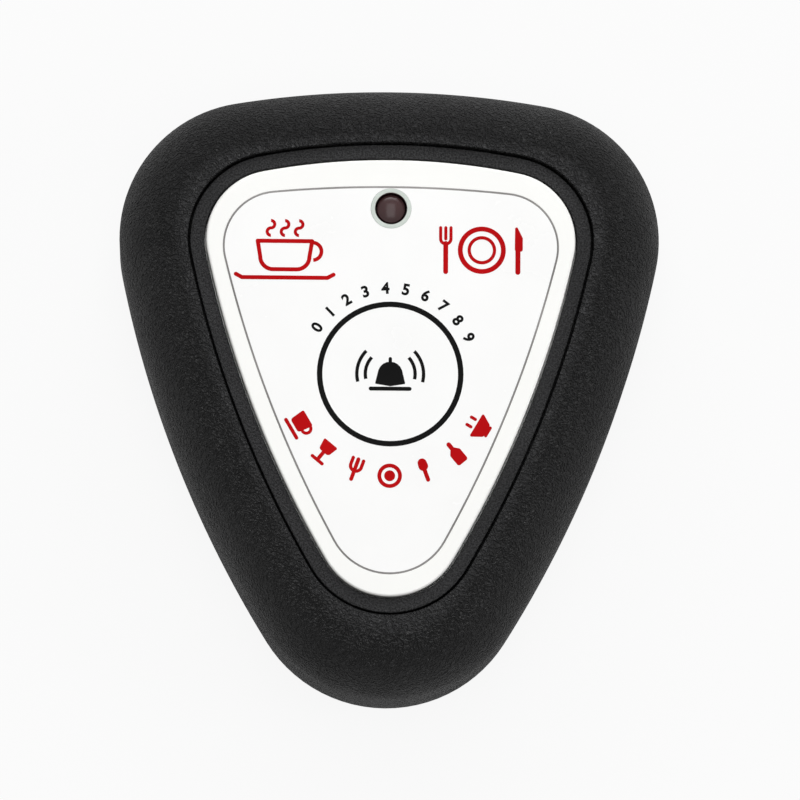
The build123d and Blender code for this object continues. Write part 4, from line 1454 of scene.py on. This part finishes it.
@dataclass
class FacePrint:
    """Printed signs on the film: ring, bell, numbers, tableware, cup and place setting."""

    ring_y: float = 1.05 * MM
    ring_radius: float = 7.51 * MM
    ring_half: float = 0.29 * MM
    bell_size: float = 1.06 * MM
    number_radius: float = 9.27 * MM
    number_height: float = 1.13 * MM
    number_weight: float = 0.06 * MM
    number_start: float = -57.6
    number_step: float = 13.55
    number_count: int = 10
    tableware_radius: float = 10.95 * MM
    tableware_size: float = 1.22 * MM
    tableware_step: float = 19.83
    cup_place: tuple[float, float] = (-11.3 * MM, 14.3 * MM)
    cup_size: float = 1.0 * MM
    setting_place: tuple[float, float] = (9.7 * MM, 14.5 * MM)
    setting_size: float = 1.0 * MM
    layer: InkLayer = InkLayer()

    def _place(self, x: float, y: float, size: float, turn: float = 0.0) -> Matrix:
        """Plan place, size and turn in degrees of a sign."""
        scale = Matrix.Diagonal((size, size, 1.0, 1.0))
        return Matrix.Translation((x, y, 0)) @ Matrix.Rotation(math.radians(turn), 4, "Z") @ scale

    def _round_ring(self, radius: float, angle: float) -> tuple[float, float]:
        """Plan point at a radius from the ring's centre, at an angle clockwise from up."""
        turn = math.radians(angle)
        return radius * math.sin(turn), self.ring_y + radius * math.cos(turn)

    def signs_mesh(self, name: str, signs: Sequence[tuple[Sign, Matrix]]) -> bpy.types.Mesh:
        """Several signs as one closed mesh.

        Args:
            name: The mesh's name.
            signs: Each sign with its place.

        Returns:
            A mesh in which crossing shapes are joined.
        """
        parts = [
            finish_shell(shape.draw(place, self.layer), name) for sign, place in signs for shape in sign
        ]
        if len(parts) == 1:
            return parts[0]
        rest = bmesh.new()
        for part in parts[1:]:
            rest.from_mesh(part)
        return carve(parts[0], [(Carve.JOIN, to_mesh(rest, name + "_rest"))], crossing=True)

    def numbers_mesh(self) -> bpy.types.Mesh:
        """Builds the digits along the top of the ring.

        Returns:
            All the digits as one closed mesh.
        """
        middle = (self.layer.top + self.layer.bottom) / 2
        bm = bmesh.new()
        for digit in range(self.number_count):
            curve = bpy.data.curves.new("digit", "FONT")
            curve.body = str(digit)
            curve.size = self.number_height / CAP_SHARE
            curve.offset = self.number_weight
            curve.resolution_u = DIGIT_STEPS
            curve.extrude = (self.layer.top - self.layer.bottom) / 2
            curve.align_x = "CENTER"
            text = bpy.data.objects.new("digit", curve)
            mesh = bpy.data.meshes.new_from_object(text)
            angle = self.number_start + self.number_step * digit
            x, y = self._round_ring(self.number_radius - self.number_height / 2, angle)
            mesh.transform(Matrix.Translation((0, 0, middle)) @ self._place(x, y, 1.0, -angle))
            bm.from_mesh(mesh)
            bpy.data.objects.remove(text)
        close_shell(bm, FINE_MERGE)
        return to_mesh(bm, "number_print")

    def _tableware(self) -> list[tuple[Sign, Matrix]]:
        """Places the tableware along the bottom of the ring.

        Returns:
            Each sign with its place, from left to right.
        """
        middle = len(TABLEWARE) // 2
        placed = []
        for count, sign in enumerate(TABLEWARE):
            angle = 180 + self.tableware_step * (middle - count)
            x, y = self._round_ring(self.tableware_radius, angle)
            placed.append((sign, self._place(x, y, self.tableware_size, 180 - angle)))
        return placed

    def build(self, materials: Materials) -> None:
        """Builds the signs and lays them on the film.

        Args:
            materials: Materials by slot.
        """
        ring = Bow(0, 0, self.ring_radius, self.ring_half)
        signs = {
            ("ring_print", "ink_black"): [((ring,), self._place(0, self.ring_y, 1.0))],
            ("bell_print", "ink_black"): [(BELL, self._place(0, self.ring_y, self.bell_size))],
            ("tableware_print", "ink_red"): self._tableware(),
            ("cup_print", "ink_red"): [(CUP_AND_SAUCER, self._place(*self.cup_place, self.cup_size))],
            ("setting_print", "ink_red"): [
                (PLACE_SETTING, self._place(*self.setting_place, self.setting_size))
            ],
        }
        for (name, ink), placed in signs.items():
            show(self.signs_mesh(name, placed), name, "key", materials[ink])
        show(self.numbers_mesh(), "number_print", "key", materials["ink_black"])


# ---------------------------------------------------------------- studio
@dataclass(frozen=True)
class Softbox:
    """Soft oblong lamp, with its sides in metres and its power in watts."""

    name: str
    place: tuple[float, float, float]
    size: tuple[float, float]
    power: float

    def build(self, target: Vector) -> None:
        """Adds the lamp.

        Args:
            target: Point that it faces.
        """
        data = bpy.data.lights.new(self.name, "AREA")
        data.shape = "RECTANGLE"
        data.size, data.size_y = self.size
        data.energy = self.power
        lamp = bpy.data.objects.new(self.name, data)
        lamp.location = self.place
        lamp.rotation_euler = (Vector(self.place) - target).to_track_quat("Z", "Y").to_euler()
        bpy.context.scene.collection.objects.link(lamp)


SOFTBOXES = (
    Softbox("softbox_above", (0.0, 0.04, 0.82), (0.52, 0.92), 2.8),
    Softbox("softbox_wide_end", (0.0, 0.75, 0.36), (0.8, 0.26), 4.6),
    Softbox("softbox_right", (0.8, -0.05, 0.25), (0.25, 0.4), 1.8),
)


@dataclass
class Studio:
    """Camera, floor, world and lamps."""

    pivot: Vector = field(default_factory=lambda: Vector((0, 0, 16.5 * MM)))
    distance: float = 0.9
    tilt: float = math.radians(8.999)
    yaw: float = math.radians(1.415)
    roll: float = math.radians(-0.53)
    across: float = 1.046 * MM
    down: float = 1.739 * MM
    pixels_per_metre: float = 9405.0
    sensor_mm: float = 36.0
    floor_size: float = 3.0
    floor_cells: int = 4
    floor_gap: float = 0.02 * MM
    floor_grey: float = 0.7
    floor_glow: float = 0.9
    sky_light: float = 0.3
    sky_seen: float = 1.0

    def camera(self) -> None:
        """Adds the camera and makes it the scene's."""
        sin_tilt, cos_tilt = math.sin(self.tilt), math.cos(self.tilt)
        sin_yaw, cos_yaw = math.sin(self.yaw), math.cos(self.yaw)
        right = Vector((cos_yaw, -sin_tilt * sin_yaw, cos_tilt * sin_yaw))
        up = Vector((0, cos_tilt, sin_tilt))
        back = Vector((-sin_yaw, -sin_tilt * cos_yaw, cos_tilt * cos_yaw))
        side = right * math.cos(self.roll) - up * math.sin(self.roll)
        head = right * math.sin(self.roll) + up * math.cos(self.roll)
        place = self.pivot + side * self.across - head * self.down + back * self.distance
        data = bpy.data.cameras.new("camera")
        data.sensor_width = self.sensor_mm
        data.lens = self.sensor_mm * self.distance * self.pixels_per_metre / IMAGE_WIDTH_PX
        camera = bpy.data.objects.new("camera", data)
        turn = Matrix((side, head, back)).transposed().to_4x4()
        camera.matrix_world = Matrix.Translation(place) @ turn
        bpy.context.scene.collection.objects.link(camera)
        bpy.context.scene.camera = camera

    def _seen(self, graph: Graph) -> Socket:
        """Finds the rays that see the background itself: from the eye, a gloss or a glass.

        Args:
            graph: Graph of the floor's or the world's own nodes.

        Returns:
            A mask of those rays.
        """
        path = graph.add("ShaderNodeLightPath")
        straight = graph.math("MAXIMUM", path.outputs["Is Camera Ray"], path.outputs["Is Glossy Ray"])
        return graph.math("MAXIMUM", straight, path.outputs["Is Transmission Ray"])

    def floor(self) -> None:
        """Adds the pale floor, which keeps a faint shadow."""
        bm = bmesh.new()
        cells = self.floor_cells
        below = Matrix.Translation((0, 0, -self.floor_gap))
        bmesh.ops.create_grid(bm, x_segments=cells, y_segments=cells, size=self.floor_size / 2, matrix=below)
        floor = bpy.data.objects.new("floor", to_mesh(bm, "floor"))
        bpy.context.scene.collection.objects.link(floor)
        material = bpy.data.materials.new("floor_white")
        graph = empty_graph(material)
        plain = graph.add("ShaderNodeBsdfDiffuse", {"Color": shade((self.floor_grey,) * 3, 1.0)})
        glow = graph.add("ShaderNodeEmission", {"Color": (1.0, 1.0, 1.0, 1.0), "Strength": 1.0})
        share = graph.math("MULTIPLY", self._seen(graph), self.floor_glow)
        mix = graph.add("ShaderNodeMixShader", {0: share, 1: plain.outputs[0], 2: glow.outputs[0]})
        graph.add("ShaderNodeOutputMaterial", {"Surface": mix.outputs[0]})
        floor.data.materials.append(material)

    def world(self) -> None:
        """Sets a plain pale world."""
        world = bpy.data.worlds.new("studio")
        graph = empty_graph(world)
        strength = graph.spread(self._seen(graph), 0.0, 1.0, self.sky_light, self.sky_seen)
        sky = graph.add("ShaderNodeBackground", {"Color": (1.0, 1.0, 1.0, 1.0), "Strength": strength})
        graph.add("ShaderNodeOutputWorld", {"Surface": sky.outputs[0]})
        bpy.context.scene.world = world

    def build(self) -> None:
        """Sets up the whole studio."""
        self.camera()
        self.floor()
        self.world()
        for softbox in SOFTBOXES:
            softbox.build(self.pivot)
        bpy.context.scene.view_settings.view_transform = "Standard"


def dress_nodes(nodes: dict[str, bpy.types.Object], record: dict, materials: Materials) -> None:
    """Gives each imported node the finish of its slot.

    Args:
        nodes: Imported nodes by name.
        record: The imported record.
        materials: Materials by slot.
    """
    for part in record["subparts"]:
        mesh = nodes[part["node"]].data
        mesh.materials.clear()
        mesh.materials.append(materials[part["material_slot"]])
        LOG.info("%s: %s", part["node"], part["material_slot"])


def main() -> None:
    """Builds every sub-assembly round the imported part."""
    logging.basicConfig(level=logging.INFO, format="%(message)s")
    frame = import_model()
    effects = Effects()
    materials = {finish.name: finish.make(effects) for finish in (*FINISHES, *INKS)}
    dress_nodes(frame["nodes"], frame["record"], materials)
    lamp = Lamp()
    Surround().build(materials)
    Bezel().build(materials)
    lamp.build(materials)
    Key(lamp).build(materials)
    for flexure in FLEXURES:
        flexure.build(frame["nodes"], materials)
    FacePrint().build(materials)
    Studio().build()


if __name__ == "__main__":
    main()
